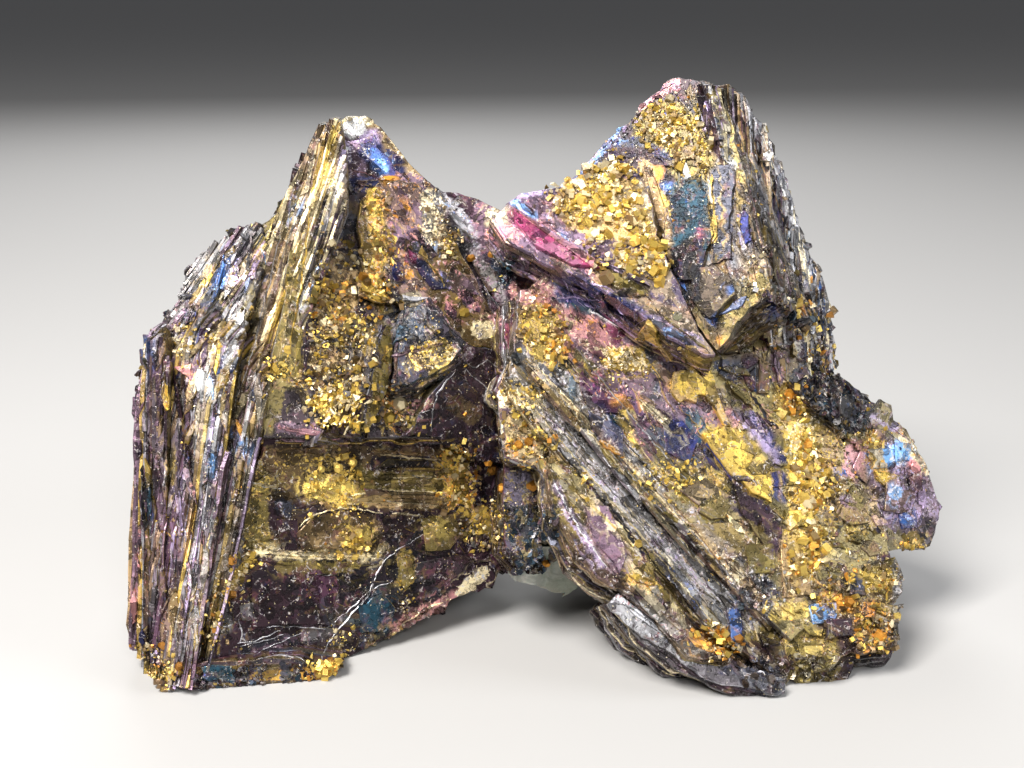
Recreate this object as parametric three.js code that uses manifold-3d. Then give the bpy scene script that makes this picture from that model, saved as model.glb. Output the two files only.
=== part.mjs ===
// Covellite: a hand-sized group of grown-together covellite books with pyrite.
//
// Covellite grows as "books": stacks of thin six-sided plates with one perfect cleavage. The group
// has two lobes that lean apart from a low saddle. Every book here is one closed prism: a cleavage
// face of its true outline, with the thickness of its stack behind it. The books overlap, as grown
// crystals do, so they are joined into a single solid, which is cut level where it stands.
//
// Frame: millimetres, +X to the right of the front, +Y towards the back, +Z up.
// The origin is on the ground, under the middle of the group: halfway across and halfway back.

import * as THREE from 'three';
import { mergeVertices } from 'three/addons/utils/BufferGeometryUtils.js';
import Module from 'manifold-3d';

// ---- driving dimensions -------------------------------------------------------------------------

// Outlines are drawn on a flat sheet that stands in the middle of the group and leans back by
// SHEET_LEAN. Its own middle is at SHEET_MIDDLE. A point [u, v] is u mm to the right
// of that middle and v mm up the sheet. The sheet is read from a station straight in front of it,
// STATION_DISTANCE away, and an outline is carried along its sight lines to the plane of its face.
const SHEET_MIDDLE = [-4, -13, 36];
const SHEET_LEAN = 16;
const STATION_DISTANCE = 209;

// The group is cut level at the ground, over more than its whole width and depth.
const GROUND_BLOCK = 200;

const COVELLITE_COLOUR = 0x3a3346;
const COVELLITE_ROUGHNESS = 0.4;
const COVELLITE_METALNESS = 0.6;

// ---- the elevation sheet ------------------------------------------------------------------------

const lean = THREE.MathUtils.degToRad(SHEET_LEAN);
const sheetRight = new THREE.Vector3(1, 0, 0);
const sheetUp = new THREE.Vector3(0, Math.sin(lean), Math.cos(lean));
const sheetInto = new THREE.Vector3(0, Math.cos(lean), -Math.sin(lean));
const sheetMiddle = new THREE.Vector3(...SHEET_MIDDLE);
const station = sheetMiddle.clone().addScaledVector(sheetInto, -STATION_DISTANCE);

// The direction a face looks: turn is to the right of straight ahead, tilt is upwards, in degrees.
function facing([turn, tilt]) {
  const a = THREE.MathUtils.degToRad(turn);
  const e = THREE.MathUtils.degToRad(tilt);
  return new THREE.Vector3(Math.sin(a) * Math.cos(e), -Math.cos(a) * Math.cos(e), Math.sin(e));
}

function sightLine(u, v) {
  const line = sheetInto.clone().multiplyScalar(STATION_DISTANCE);
  return line.addScaledVector(sheetRight, u).addScaledVector(sheetUp, v);
}

// A point seen at [u, v] on the sheet that lies "behind" mm behind it.
function pointBehindSheet([u, v, behind]) {
  const reach = (STATION_DISTANCE + behind) / STATION_DISTANCE;
  return station.clone().addScaledVector(sightLine(u, v), reach);
}

// ---- a book of plates ---------------------------------------------------------------------------

function solidFrom(geometry) {
  geometry.deleteAttribute('normal');
  geometry.deleteAttribute('uv');
  const merged = mergeVertices(geometry, 1e-4);
  return new wasm.Manifold(
    new wasm.Mesh({
      numProp: 3,
      vertProperties: new Float32Array(merged.attributes.position.array),
      triVerts: new Uint32Array(merged.index.array),
    })
  );
}

// face: where the cleavage face looks. through: one point of that face, as [u, v, behind].
// outline: the face's corners on the sheet. stack: how thick the book is behind the face.
// runs: the direction that the stack's sides come forward in. back: the size of the rear face.
function book({ face, through, outline, stack, runs = face, back = 1 }) {
  const normal = facing(face);
  const plane = new THREE.Plane().setFromNormalAndCoplanarPoint(normal, pointBehindSheet(through));
  const corners = outline.map(([u, v]) => {
    const ray = new THREE.Ray(station, sightLine(u, v).normalize());
    return ray.intersectPlane(plane, new THREE.Vector3());
  });

  const middle = new THREE.Vector3();
  corners.forEach((corner) => middle.addScaledVector(corner, 1 / corners.length));
  const across = new THREE.Vector3().crossVectors(new THREE.Vector3(0, 0, 1), normal).normalize();
  const along = new THREE.Vector3().crossVectors(normal, across);
  const shape = new THREE.Shape(
    corners.map((corner) => {
      const arm = corner.clone().sub(middle);
      return new THREE.Vector2(arm.dot(across), arm.dot(along));
    })
  );

  const geometry = new THREE.ExtrudeGeometry(shape, { depth: stack, bevelEnabled: false });
  const rear = facing(runs).multiplyScalar(-stack);
  const position = geometry.attributes.position;
  for (let i = 0; i < position.count; i += 1) {
    const atFace = position.getZ(i) > stack / 2;
    const size = atFace ? 1 : back;
    const point = middle.clone();
    point.addScaledVector(across, position.getX(i) * size);
    point.addScaledVector(along, position.getY(i) * size);
    if (!atFace) point.add(rear);
    position.setXYZ(i, point.x, point.y, point.z);
  }
  return solidFrom(geometry);
}

// A heel: a rough stub below the books that reaches the ground, from its outline in plan.
function heel(plan, height) {
  const shape = new THREE.Shape(plan.map(([x, y]) => new THREE.Vector2(x, y)));
  const geometry = new THREE.ExtrudeGeometry(shape, { depth: height, bevelEnabled: false });
  return solidFrom(geometry);
}

// ---- the left lobe ------------------------------------------------------------------------------

const leftLobe = [
  // The mass that the outer books grow from.
  {
    face: [10, 16], through: [-27, -5, -1], stack: 33, back: 0.85,
    outline: [[-51, -37.5], [-53, -7], [-46, 14], [-24.5, 36], [-20.5, 37], [-10.5, 23.5],
      [-3, 12.5], [-3.5, -24.5], [-13.5, -32.5], [-27, -37.5], [-43.5, -41.5]],
  },
  // The big dark book at the lower front.
  {
    face: [27, 12], through: [-45, -44, -15], stack: 32,
    outline: [[-45.5, -45], [-42.5, -34.5], [-40, -23], [-37, -8], [-36, -6], [-24, -7.5],
      [-4.5, -8], [-0.5, -14], [-1, -25], [-3, -30], [-10.5, -33], [-18.5, -37], [-26, -41],
      [-40, -45.5]],
  },
  // The pyramid above it, up to the peak.
  {
    face: [22, 28], through: [-23, 39.5, 1], stack: 26,
    outline: [[-28.5, 36], [-24.5, 39.5], [-20.5, 39.5], [-14.5, 32], [-10, 28], [-3, 17],
      [1, 6], [-2, -8], [-36.5, -8], [-37, -2.5], [-33.5, 12.5], [-31, 28.5]],
  },
  // The plates that lie on the pyramid, down its right crest.
  {
    face: [22, 28], through: [-18, 29.5, -2.5], stack: 6,
    outline: [[-22, 27], [-19.5, 29.5], [-14.5, 30], [-12, 27], [-6, 18], [1, 6], [-2, 4.5],
      [-8.5, 7], [-16.5, 12], [-22, 14]],
  },
  // The slender blade at the foot of the pyramid.
  {
    face: [55, 15], through: [-18.5, 8, -9.5], stack: 10,
    outline: [[-19, 9], [-17.5, 9], [-17, 6], [-18.5, -2.5], [-20.5, -8.5], [-23.5, -8], [-21, 0]],
  },
  // The grey three-cornered plates beside the blade.
  {
    face: [5, 35], through: [-13.5, 8, -8.5], stack: 9,
    outline: [[-17, 12], [-12, 13], [-9.5, 9.5], [-7, 6], [-9.5, 3], [-14.5, 0], [-17.5, -1],
      [-17.5, 6]],
  },
  // The dark mass above the lower book's right end.
  {
    face: [30, 5], through: [-6, -2.5, -6], stack: 12,
    outline: [[-9.5, 6], [-6, 6], [0, 4.5], [0.5, -2.5], [-0.5, -12.5], [-12, -8.5], [-16.5, -8],
      [-13, -4], [-8.5, 1.5]],
  },
  // The left wall, where the books show the edges of their plates: upper and lower ridge,
  // then the middle and the far strip.
  {
    face: [-30, 10], through: [-31, 12.5, -9], stack: 24, runs: [5, 10],
    outline: [[-31, 28.5], [-28, 38], [-25.5, 39], [-24.5, 33], [-24.5, 25], [-28.5, 18],
      [-31, 8], [-36, -7], [-42, -7], [-39.5, 8], [-36.5, 20.5]],
  },
  {
    face: [-30, 6], through: [-40, -26, -17], stack: 26, runs: [5, 5],
    outline: [[-36, -6], [-37, -8], [-40, -23.5], [-42.5, -34.5], [-45.5, -45], [-49, -45],
      [-47.5, -32], [-46, -17], [-43.5, -6]],
  },
  {
    face: [-25, 6], through: [-47.5, -26, -15], stack: 30, runs: [5, 5],
    outline: [[-42.5, -2.5], [-43.5, -17], [-45, -32], [-47, -45], [-52, -45], [-53, -32],
      [-52.5, -14], [-51.5, -2.5], [-47.5, 0]],
  },
  {
    face: [-25, 4], through: [-53, -26, -12], stack: 30, runs: [5, 5],
    outline: [[-50.5, 3], [-51, -14], [-52, -32], [-51, -44.5], [-53.5, -44.5], [-56, -37.5],
      [-56.5, -32], [-55, -17], [-55, -2.5], [-54, 6.5], [-52, 7]],
  },
  // The silvery shoulder at the top left.
  {
    face: [-20, 30], through: [-43, 12.5, -6], stack: 28, runs: [0, 25],
    outline: [[-47.5, 17], [-44.5, 20.5], [-40, 23], [-37, 23.5], [-36, 20.5], [-38.5, 11],
      [-42, -2.5], [-51, -2.5], [-52, 5.5], [-49, 11.5]],
  },
  // The front foot, and the shaded rough mass behind the lower rim.
  {
    face: [10, 0], through: [-38.5, -43.5, -14], stack: 26,
    outline: [[-52, -42.5], [-45, -40], [-31, -40], [-24.5, -41], [-27, -44], [-31, -45.5],
      [-49, -45.5]],
  },
  {
    face: [5, 0], through: [-16.5, -36, 8], stack: 22,
    outline: [[-25.5, -30], [-9, -30], [-9.5, -35.5], [-13.5, -39.5], [-21, -42], [-25.5, -40]],
  },
];

// ---- the right lobe -----------------------------------------------------------------------------

const rightLobe = [
  // The mass that the outer books grow from.
  {
    face: [8, 24], through: [26, -2.5, 3], stack: 30, back: 0.85,
    outline: [[0.5, -2.5], [-2.5, 22.5], [7, 28], [14.5, 34.5], [23.5, 43.5], [31, 43],
      [36, 37.5], [41.5, 22], [47, 0.5], [51, -17], [55.5, -26], [55, -36], [47, -42],
      [38, -43], [16, -30.5], [5.5, -15.5]],
  },
  // The round bump at the far right.
  {
    face: [25, 20], through: [57, -12.5, 2], stack: 26, back: 0.85,
    outline: [[48, -2.5], [52.5, -3], [58, -6], [61.5, -11.5], [63.5, -18], [61, -23.5],
      [57.5, -24.5], [51, -26]],
  },
  // The big book of the main face.
  {
    face: [20, 34], through: [39.5, -33.5, -14], stack: 22,
    outline: [[0, 4.5], [0, 14], [7, 17], [23, 15.5], [38, 12.5], [42.5, 8], [45, -2.5],
      [50, -12.5], [54, -17], [56.5, -26], [48.5, -30.5], [41, -37.5], [37, -33.5], [19, -15.5]],
  },
  // The terrace above it, which slopes back to the upper left.
  {
    face: [2, 42], through: [13, 22.5, -8.5], stack: 7,
    outline: [[-3.5, 24.5], [-1, 27], [1, 28.5], [7, 29.5], [14.5, 35.5], [19, 30], [23, 18],
      [27.5, 8], [30, 4.5], [28.5, 4.5], [19, 9.5], [13, 14], [-1, 21]],
  },
  // The top book, which looks to the left, and the steep wall of plate edges to its right.
  {
    face: [-28, 22], through: [26, 37.5, -4], stack: 28,
    outline: [[11.5, 33], [14.5, 36], [19, 41], [23.5, 44.5], [28.5, 45], [31, 42], [34, 33],
      [37, 20.5], [39.5, 12.5], [34.5, 9.5], [30, 5], [23, 14.5], [19, 27]],
  },
  {
    face: [38, 14], through: [36, 25, -3], stack: 22, runs: [8, 10],
    outline: [[28.5, 44.5], [33, 43.5], [36, 39], [39, 33], [41, 27], [43, 19], [45.5, 15],
      [46.5, 10], [48, 2], [42, 0], [36, 8], [33, 22], [30, 36]],
  },
  // The diagonal stack of plate edges below the main face: upper wall and middle slab, low slab.
  {
    face: [20, 34], through: [13, -14, -12.5], stack: 16,
    outline: [[0, 4.5], [5, 2], [19, -14], [37, -33.5], [42.5, -41], [40, -45], [33, -39.5],
      [19, -25.5], [6.5, -10], [-1.5, 0.5]],
  },
  {
    face: [15, 36], through: [16, -23, -16], stack: 9,
    outline: [[5, -10.5], [9, -11.5], [19, -23.5], [27.5, -37.5], [33, -40], [31.5, -41],
      [26, -40], [19, -32], [9.5, -26], [6.5, -20]],
  },
  {
    face: [10, 30], through: [26, -37.5, -17.5], stack: 17,
    outline: [[14.5, -32], [17.5, -29.5], [21.5, -29.5], [26, -37.5], [33.5, -41.5], [40, -43],
      [40, -45.5], [37.5, -46], [32, -45], [24.5, -42], [19, -37.5]],
  },
  // The shelves at the lower right, and the foot under them.
  {
    face: [8, 42], through: [50, -30.5, -10], stack: 8,
    outline: [[37, -33.5], [41, -31.5], [50, -28], [56.5, -26], [58, -30.5], [54, -33.5],
      [48.5, -35.5], [41, -37.5]],
  },
  {
    face: [8, 42], through: [50, -37.5, -13], stack: 10,
    outline: [[39.5, -37.5], [50, -33.5], [57.5, -32], [57.5, -37.5], [56, -39.5], [50, -40],
      [47, -42], [41, -41]],
  },
  {
    face: [10, 10], through: [45, -42, -13], stack: 18,
    outline: [[36, -37], [50, -37.5], [49.5, -42], [47.5, -45], [42.5, -45], [37, -43]],
  },
  // The rough black shoulder beside the bump.
  {
    face: [35, 20], through: [48.5, -4, -2], stack: 14,
    outline: [[42.5, 0.5], [48, 1], [52.5, -2.5], [54, -8], [51.5, -10.5], [46.5, -7]],
  },
];

// ---- the back ----------------------------------------------------------------------------------

// The books at the back look away from the station, with their stacks towards the front. Their
// outlines are on the same sheet, as if it were seen through.
const backOfGroup = [
  {
    face: [205, 22], through: [-24, 2, 34], stack: 22,
    outline: [[-47, -24], [-50, -4], [-43, 12], [-30, 27], [-22, 29], [-15, 18], [-12, -4],
      [-17, -28], [-32, -35]],
  },
  {
    face: [160, 12], through: [-18, -8, 31], stack: 26,
    outline: [[-36, -30], [-33, -2], [-24, 14], [-12, 16], [-4, 4], [-5, -18], [-12, -30]],
  },
  {
    face: [192, 26], through: [24, 4, 36], stack: 24,
    outline: [[8, -14], [4, 10], [12, 24], [24, 34], [32, 32], [38, 14], [37, -12], [26, -24]],
  },
  {
    face: [150, 8], through: [36, -6, 31], stack: 24,
    outline: [[22, -32], [17, -12], [26, 8], [38, 14], [47, 2], [52, -16], [50, -31], [38, -38]],
  },
];

// ---- between the lobes --------------------------------------------------------------------------

const middleOfGroup = [
  // The knob at the head of the diagonal stack, the druse below it, and the saddle at the top.
  {
    face: [0, 30], through: [2, -1, -9], stack: 12,
    outline: [[-2, 0], [0.5, 3.5], [5.5, 1.5], [7, -7], [4, -12.5], [-1, -10.5]],
  },
  {
    face: [10, 20], through: [2, -11, -5], stack: 24,
    outline: [[-1, -5.5], [5, -5.5], [6.5, -17], [4, -26], [1, -28.5], [-2, -25]],
  },
  {
    face: [0, 45], through: [-7, 26, 6], stack: 20,
    outline: [[-11, 28.5], [-8, 28], [-5, 27], [-1, 25], [1, 20], [2, 8], [-3, 12], [-8, 22]],
  },
  // The pale quartz under the middle, which rests on the ground.
  {
    face: [0, 0], through: [3, -31, 4], stack: 16,
    outline: [[-3, -22], [-2, -28], [0, -30.5], [4, -31.5], [8.5, -32], [10, -30], [9, -22]],
  },
];

// Two heels carry the back. Each is an outline in plan [x, y] and a height.
const heels = [
  { plan: [[-48, -5], [-22, -9], [-17, 11], [-28, 21], [-44, 17]], height: 26 },
  { plan: [[14, -5], [36, -9], [43, 7], [32, 21], [17, 17]], height: 26 },
];

// ---- the group ----------------------------------------------------------------------------------

const wasm = await Module();
wasm.setup();

const pieces = [...leftLobe, ...rightLobe, ...backOfGroup, ...middleOfGroup].map(book);
heels.forEach(({ plan, height }) => pieces.push(heel(plan, height)));

let grown = pieces[0];
pieces.slice(1).forEach((piece) => {
  grown = grown.add(piece);
});

const ground = new THREE.BoxGeometry(GROUND_BLOCK, GROUND_BLOCK, GROUND_BLOCK);
ground.translate(0, 0, -GROUND_BLOCK / 2);
grown = grown.subtract(solidFrom(ground));

const mesh = grown.getMesh();
const geometry = new THREE.BufferGeometry();
geometry.setAttribute('position', new THREE.BufferAttribute(mesh.vertProperties, 3));
geometry.setIndex(new THREE.BufferAttribute(mesh.triVerts, 1));
geometry.computeVertexNormals();

const covellite = new THREE.Mesh(
  geometry,
  new THREE.MeshStandardMaterial({
    color: COVELLITE_COLOUR,
    roughness: COVELLITE_ROUGHNESS,
    metalness: COVELLITE_METALNESS,
  })
);
covellite.name = 'covellite';

const group = new THREE.Group();
group.add(covellite);

export default group;
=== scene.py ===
# %% [markdown]
# # Covellite with pyrite
#
# Covellite is a copper sulphide that grows in thin, bendable plates. The plates pile up into
# "books", and this group is two leaning lobes of such books with crusts of brassy pyrite grains
# between them. Its faces are dark metal with gold, pink and blue tarnish, and its flanks show the
# ragged edges of hundreds of plates.
#
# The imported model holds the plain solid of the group. This lesson keeps that solid's frame and
# builds the visible surface round it: plates first, then flakes, crusts and grains, and finally
# the tarnish and the metals.

# %% Load the frame
import math
import random

import bmesh
import bpy
import numpy as np
from mathutils import Matrix, Vector, noise
from mathutils.bvhtree import BVHTree
from mathutils.geometry import delaunay_2d_cdt


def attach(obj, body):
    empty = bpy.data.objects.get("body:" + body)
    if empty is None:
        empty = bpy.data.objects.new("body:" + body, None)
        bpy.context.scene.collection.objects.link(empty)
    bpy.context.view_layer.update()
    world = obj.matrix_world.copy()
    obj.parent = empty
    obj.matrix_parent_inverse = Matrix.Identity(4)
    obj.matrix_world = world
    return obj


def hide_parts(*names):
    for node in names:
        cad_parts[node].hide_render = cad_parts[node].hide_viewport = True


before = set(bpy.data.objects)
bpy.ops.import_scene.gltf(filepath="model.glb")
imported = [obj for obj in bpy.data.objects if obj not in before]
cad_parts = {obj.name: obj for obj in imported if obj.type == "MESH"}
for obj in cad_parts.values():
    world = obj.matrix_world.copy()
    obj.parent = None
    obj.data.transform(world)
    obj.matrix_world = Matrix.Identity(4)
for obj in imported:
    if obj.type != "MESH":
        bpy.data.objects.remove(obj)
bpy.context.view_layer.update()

MM = 0.001

# %% [markdown]
# A specimen is drawn the way a naturalist would draw it, as elevations. Each elevation is a sheet
# that stands in the middle of the group, read from a station straight in front of it, and places
# on it are given in millimetres to the right and up. To put an outline on a sloping crystal face,
# each corner is carried along its sight line until it meets the plane of that face. The front
# sheet leans back a little, and its station is where the camera stands later.

# %% Elevations
SHEET_MIDDLE = Vector((-4, -13, 36))
STATION_DISTANCE = 209


def facing(turn, tilt):
    """The direction of a face turned to the right of straight ahead and tilted up, in degrees."""
    a, e = math.radians(turn), math.radians(tilt)
    return Vector((math.sin(a) * math.cos(e), -math.cos(a) * math.cos(e), math.sin(e)))


class Elevation:
    def __init__(self, turn, tilt, middle):
        a = math.radians(turn)
        self.into = -facing(turn, tilt)
        self.right = Vector((math.cos(a), math.sin(a), 0))
        self.up = self.right.cross(self.into)
        self.station = middle - self.into * STATION_DISTANCE
        self.strokes = []

    def line(self, u, v):
        return self.into * STATION_DISTANCE + self.right * u + self.up * v

    def behind_sheet(self, u, v, behind):
        return self.station + self.line(u, v) * ((STATION_DISTANCE + behind) / STATION_DISTANCE)

    def carried(self, u, v, point, normal):
        """Where the sight line through (u, v) meets the plane through point."""
        line = self.line(u, v)
        return self.station + line * ((point - self.station).dot(normal) / line.dot(normal))


FRONT = Elevation(0, 16, SHEET_MIDDLE)
GROUP_MIDDLE = Vector((0, 0, 38))
LEFT = Elevation(-90, 12, GROUP_MIDDLE)
RIGHT = Elevation(90, 12, GROUP_MIDDLE)
BACK = Elevation(180, 16, GROUP_MIDDLE)
SIDE_ELEVATIONS = {"back": BACK, "left": LEFT, "right": RIGHT}
print("front station", [round(c) for c in FRONT.station])

# %% [markdown]
# Everything is gathered in heaps. A heap holds many closed plates or grains, and becomes one mesh
# at the end, so that thousands of small bodies stay a handful of objects. Each face remembers a
# colour of its own and how firmly it holds it, and each point remembers where it lies within its
# plate. The finish reads both. Nothing reaches below the ground: a point that would slides up its
# plate until it meets the ground, which leaves the flat spots that the group stands on.

# %% Heaps of plates and grains
GROUND = 0.02
LEAST_RISE = 0.2
heaps = {}


class Heap:
    def __init__(self, name, finish="covellite"):
        self.name = name
        self.finish = finish
        self.points = []
        self.lie = []
        self.faces = []
        self.colour = []
        self.hold = []
        heaps[name] = self

    def add(self, points, lie, faces, colour, hold, rise=Vector((0, 0, 1))):
        if max(p.z for p in points) < GROUND + LEAST_RISE:
            return
        start = len(self.points)
        self.points.extend(p + rise * (max(GROUND - p.z, 0) / rise.z) for p in points)
        self.lie.extend(lie)
        self.faces.extend([tuple(start + i for i in face) for face in faces])
        self.colour.extend([colour] * len(faces))
        self.hold.extend(hold if isinstance(hold, list) else [hold] * len(faces))

    def triangles(self):
        return sum(len(face) - 2 for face in self.faces)


# %% [markdown]
# Colours are named once, the way a collector would describe them, as light reflected by metal.
# Some mixes of them come back again and again, so they have names too.

# %% Palette
PALETTE = {
    "black": (0.008, 0.007, 0.010),
    "plum": (0.028, 0.014, 0.020),
    "aubergine": (0.075, 0.030, 0.055),
    "indigo": (0.022, 0.026, 0.110),
    "blue": (0.050, 0.130, 0.380),
    "sky": (0.220, 0.450, 0.850),
    "teal": (0.015, 0.055, 0.085),
    "grey": (0.150, 0.145, 0.145),
    "slate": (0.048, 0.050, 0.068),
    "silver": (0.460, 0.460, 0.490),
    "white": (0.900, 0.900, 0.900),
    "mauve": (0.190, 0.120, 0.165),
    "lavender": (0.420, 0.330, 0.520),
    "magenta": (0.260, 0.040, 0.110),
    "rose": (0.520, 0.240, 0.240),
    "cream": (0.850, 0.720, 0.450),
    "tan": (0.340, 0.230, 0.110),
    "olive": (0.210, 0.160, 0.045),
    "bronze": (0.095, 0.062, 0.026),
    "gold": (0.620, 0.420, 0.080),
    "brass": (0.880, 0.640, 0.160),
    "orange": (0.620, 0.270, 0.035),
}
MIXES = {
    "steps": ("grey", "bronze", "plum", "olive", "black"),
    "bright": ("brass", "cream", "gold", "cream", "tan", "gold"),
    "warm": ("gold", "brass", "tan", "cream", "bronze", "tan", "gold", "olive", "orange"),
    "dull": ("tan", "olive", "grey", "bronze", "cream", "slate", "gold"),
    "dark": ("black", "slate", "plum", "grey", "teal"),
}


def shades(mix):
    """The colours of a mix, or of several mixes and colours joined with plus signs."""
    return [colour for word in mix.split("+") for colour in MIXES.get(word, (word,))]


# %% [markdown]
# Outlines, routes and other long lists are written as plain text. A place on an elevation is
# written as u,v. A table has one thing to a line, with its words and numbers first and then its
# places. Two functions read them.

# %% Tables
def places(text):
    """The places in a text, each written as u,v."""
    return [tuple(float(number) for number in word.split(",")) for word in text.split() if "," in word]


def rows(table):
    """Each line of a table: its words and numbers in turn, and last the list of its places."""
    for line in table.splitlines():
        text = line.split("#")[0]
        if text.strip():
            plain = [word for word in text.split() if "," not in word]
            yield [float(w) if w[0] in "-.0123456789" else w for w in plain] + [places(text)]

# %% [markdown]
# A plate is a flat polygon with a ragged rim. Real plates break along straight six-sided growth
# lines with small jumps, so each stretch of the rim is moved in or out by noise that is rounded
# to steps, and finer noise roughens it. The rim has a narrow bevel, which catches the light, and
# a face that shows is filled with small triangles so that its colour can change across it.
# Lengths are in millimetres. BROAD, FINE and FINEST say how often a noise changes in one of them.

# %% One plate
RIM_STEP = 0.45
LARGEST_JUMP = 3.2
BROAD, FINE, FINEST = 0.11, 0.8, 2.3
FINE_MOVE = 0.35
SET_BACK = 0.5
ROW_APART = 0.87
BEVEL = 0.09
HIDDEN_SHARE = 9
HIDDEN_INSET = 0.8
rng = random.Random(7)


def area_of(outline):
    """The area of an outline, below zero if it runs clockwise."""
    return sum(a[0] * b[1] - b[0] * a[1] for a, b in zip(outline, outline[1:] + outline[:1])) / 2


def ragged(outline, spacing, rough, seed):
    """The polygon walked in steps, each point moved in or out, with its outward direction."""
    if area_of(outline) < 0:
        outline = outline[::-1]
    walk = []
    for a, b in zip(outline, outline[1:] + outline[:1]):
        dx, dy = b[0] - a[0], b[1] - a[1]
        length = math.hypot(dx, dy)
        if length < 1e-6:
            continue
        out = (dy / length, -dx / length)
        steps = max(1, round(length / spacing))
        for k in range(steps):
            x, y = a[0] + dx * k / steps, a[1] + dy * k / steps
            broad = noise.noise((x * BROAD, y * BROAD, seed))
            jump = round(broad * LARGEST_JUMP * rough / RIM_STEP) * RIM_STEP
            fine = noise.noise((x * FINE, y * FINE, seed + 31))
            fine += noise.noise((x * FINEST, y * FINEST, seed))
            move = jump + fine * FINE_MOVE * rough - SET_BACK * rough
            walk.append((x + out[0] * move, y + out[1] * move, out))
    return walk


def filled(rim, cell):
    """Triangles over a polygon, with extra points inside it on a loose grid."""
    flat = [Vector((x, y)) for x, y in rim]
    low, high = min(p.y for p in flat), max(p.y for p in flat)
    inner = []
    for j in range(int((high - low) / (cell * ROW_APART)) + 1):
        y = low + j * cell * ROW_APART
        cuts = []
        for a, b in zip(flat, flat[1:] + flat[:1]):
            if (a.y > y) != (b.y > y):
                cuts.append(a.x + (y - a.y) / (b.y - a.y) * (b.x - a.x))
        cuts.sort()
        for x0, x1 in zip(cuts[::2], cuts[1::2]):
            x = x0 + cell * (0.4 + 0.5 * (j % 2))
            while x < x1 - cell * 0.4:
                inner.append(Vector((x + rng.uniform(-0.2, 0.2) * cell, y)))
                x += cell
    count = len(flat)
    points, _, faces, _, _, _ = delaunay_2d_cdt(flat + inner, [], [list(range(count))], 1, 1e-5)
    if len(points) != count + len(inner):
        return [], [tuple(range(count))]
    return [(p.x, p.y) for p in inner], [tuple(face) for face in faces]


def ringed(rim):
    """Triangles over a hidden cap: a band from the rim to a few inner points, and those joined."""
    count = len(rim)
    few = max(4, count // HIDDEN_SHARE)
    middle = (sum(x for x, _ in rim) / count, sum(y for _, y in rim) / count)
    inner = [tuple(m + (c - m) * HIDDEN_INSET for c, m in zip(rim[count * j // few], middle))
             for j in range(few)]
    faces = [tuple(range(count, count + few))]
    for j in range(few):
        first, last = count * j // few, count * (j + 1) // few
        for k in range(first, last):
            faces.append((k, (k + 1) % count, count + j))
        faces.append((last % count, count + (j + 1) % few, count + j))
    return inner, faces


class Lie:
    """A flat frame on a crystal face: a middle, two directions in the face, and its normal."""

    def __init__(self, middle, normal):
        self.middle = middle
        self.normal = normal.normalized()
        side = Vector((0, 0, 1)).cross(self.normal)
        self.across = (side if side.length > 0.05 else Vector((1, 0, 0))).normalized()
        self.along = self.normal.cross(self.across)

    def flat(self, point):
        arm = point - self.middle
        return arm.dot(self.across), arm.dot(self.along)

    def solid(self, x, y, height):
        return self.middle + self.across * x + self.along * y + self.normal * height


def plate(heap, lie, outline, low, high, colour, spacing=1.1, rough=0.5, seed=None,
          top_cell=None, base_cell=None, hold=(0.2, 0.7), tilt=0.0, streaks=0.0):
    """A closed plate from height low to height high above the face's middle."""
    run, rise = math.cos(math.radians(streaks)), math.sin(math.radians(streaks))
    seed = rng.uniform(0, 500) if seed is None else seed
    walk = ragged(outline, spacing, rough, seed)
    count = len(walk)
    slope_x, slope_y = rng.uniform(-tilt, tilt), rng.uniform(-tilt, tilt)
    bevel = min(BEVEL, (high - low) * 0.4)
    shift = rng.uniform(0, 60)
    points, lies = [], []

    def put(x, y, height):
        points.append(lie.solid(x, y, height + slope_x * x + slope_y * y))
        lies.append((x * run + y * rise + shift, y * run - x * rise - shift, height))

    for height, inset in ((low, 0.0), (high - bevel, 0.0), (high, bevel)):
        for x, y, out in walk:
            put(x - out[0] * inset, y - out[1] * inset, height)
    faces = []
    for ring in (0, count):
        for k in range(count):
            n = (k + 1) % count
            faces.append((ring + k, ring + n, ring + count + n, ring + count + k))
    holds = [hold[1]] * len(faces)
    for start, height, cell, flip in ((2 * count, high, top_cell, False), (0, low, base_cell, True)):
        rim = [(x, y) for x, y, _ in walk]
        first_inner = len(points)
        inner, cap = filled(rim, cell) if cell else ringed(rim)
        for x, y in inner:
            put(x, y, height)
        for face in cap:
            face = tuple(start + i if i < count else first_inner + i - count for i in face)
            faces.append(face[::-1] if flip else face)
            holds.append(hold[0])
    tone_and_sheen = rng.uniform(0.5, 1.5)
    rise = lie.along if lie.along.z > 0.3 else Vector((0, 0, 1))
    heap.add(points, lies, faces, tuple(c * tone_and_sheen for c in PALETTE[colour]), holds, rise)


# %% [markdown]
# A book is a prism cut into plates. Where its plates lie parallel to its face, they are copies of
# the outline at different depths. Where its flank shows plate edges, the prism is sliced in the
# plates' own direction, and each slice becomes a plate with the section's outline. Every plate is
# a little larger or smaller than the last, so the flank is ribbed like a torn book's, and its rim
# changes slowly from plate to plate.

# %% A book of plates
BASE_CELL = 1.6
PLATE_OVERLAP = 0.08
SEED_STEP = 0.21
LEAST_SECTION = 6


def prism(face, through, outline, stack, runs=None, back=1.0):
    """The front and back corners of a book, in the frame of its face."""
    normal = facing(*face)
    start = FRONT.behind_sheet(*through)
    front = [FRONT.carried(u, v, start, normal) for u, v in outline]
    middle = sum(front, Vector()) / len(front)
    rear = facing(*(runs or face)) * -stack
    rear_corners = [middle + (corner - middle) * back + rear for corner in front]
    return normal, middle, front, rear_corners


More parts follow.
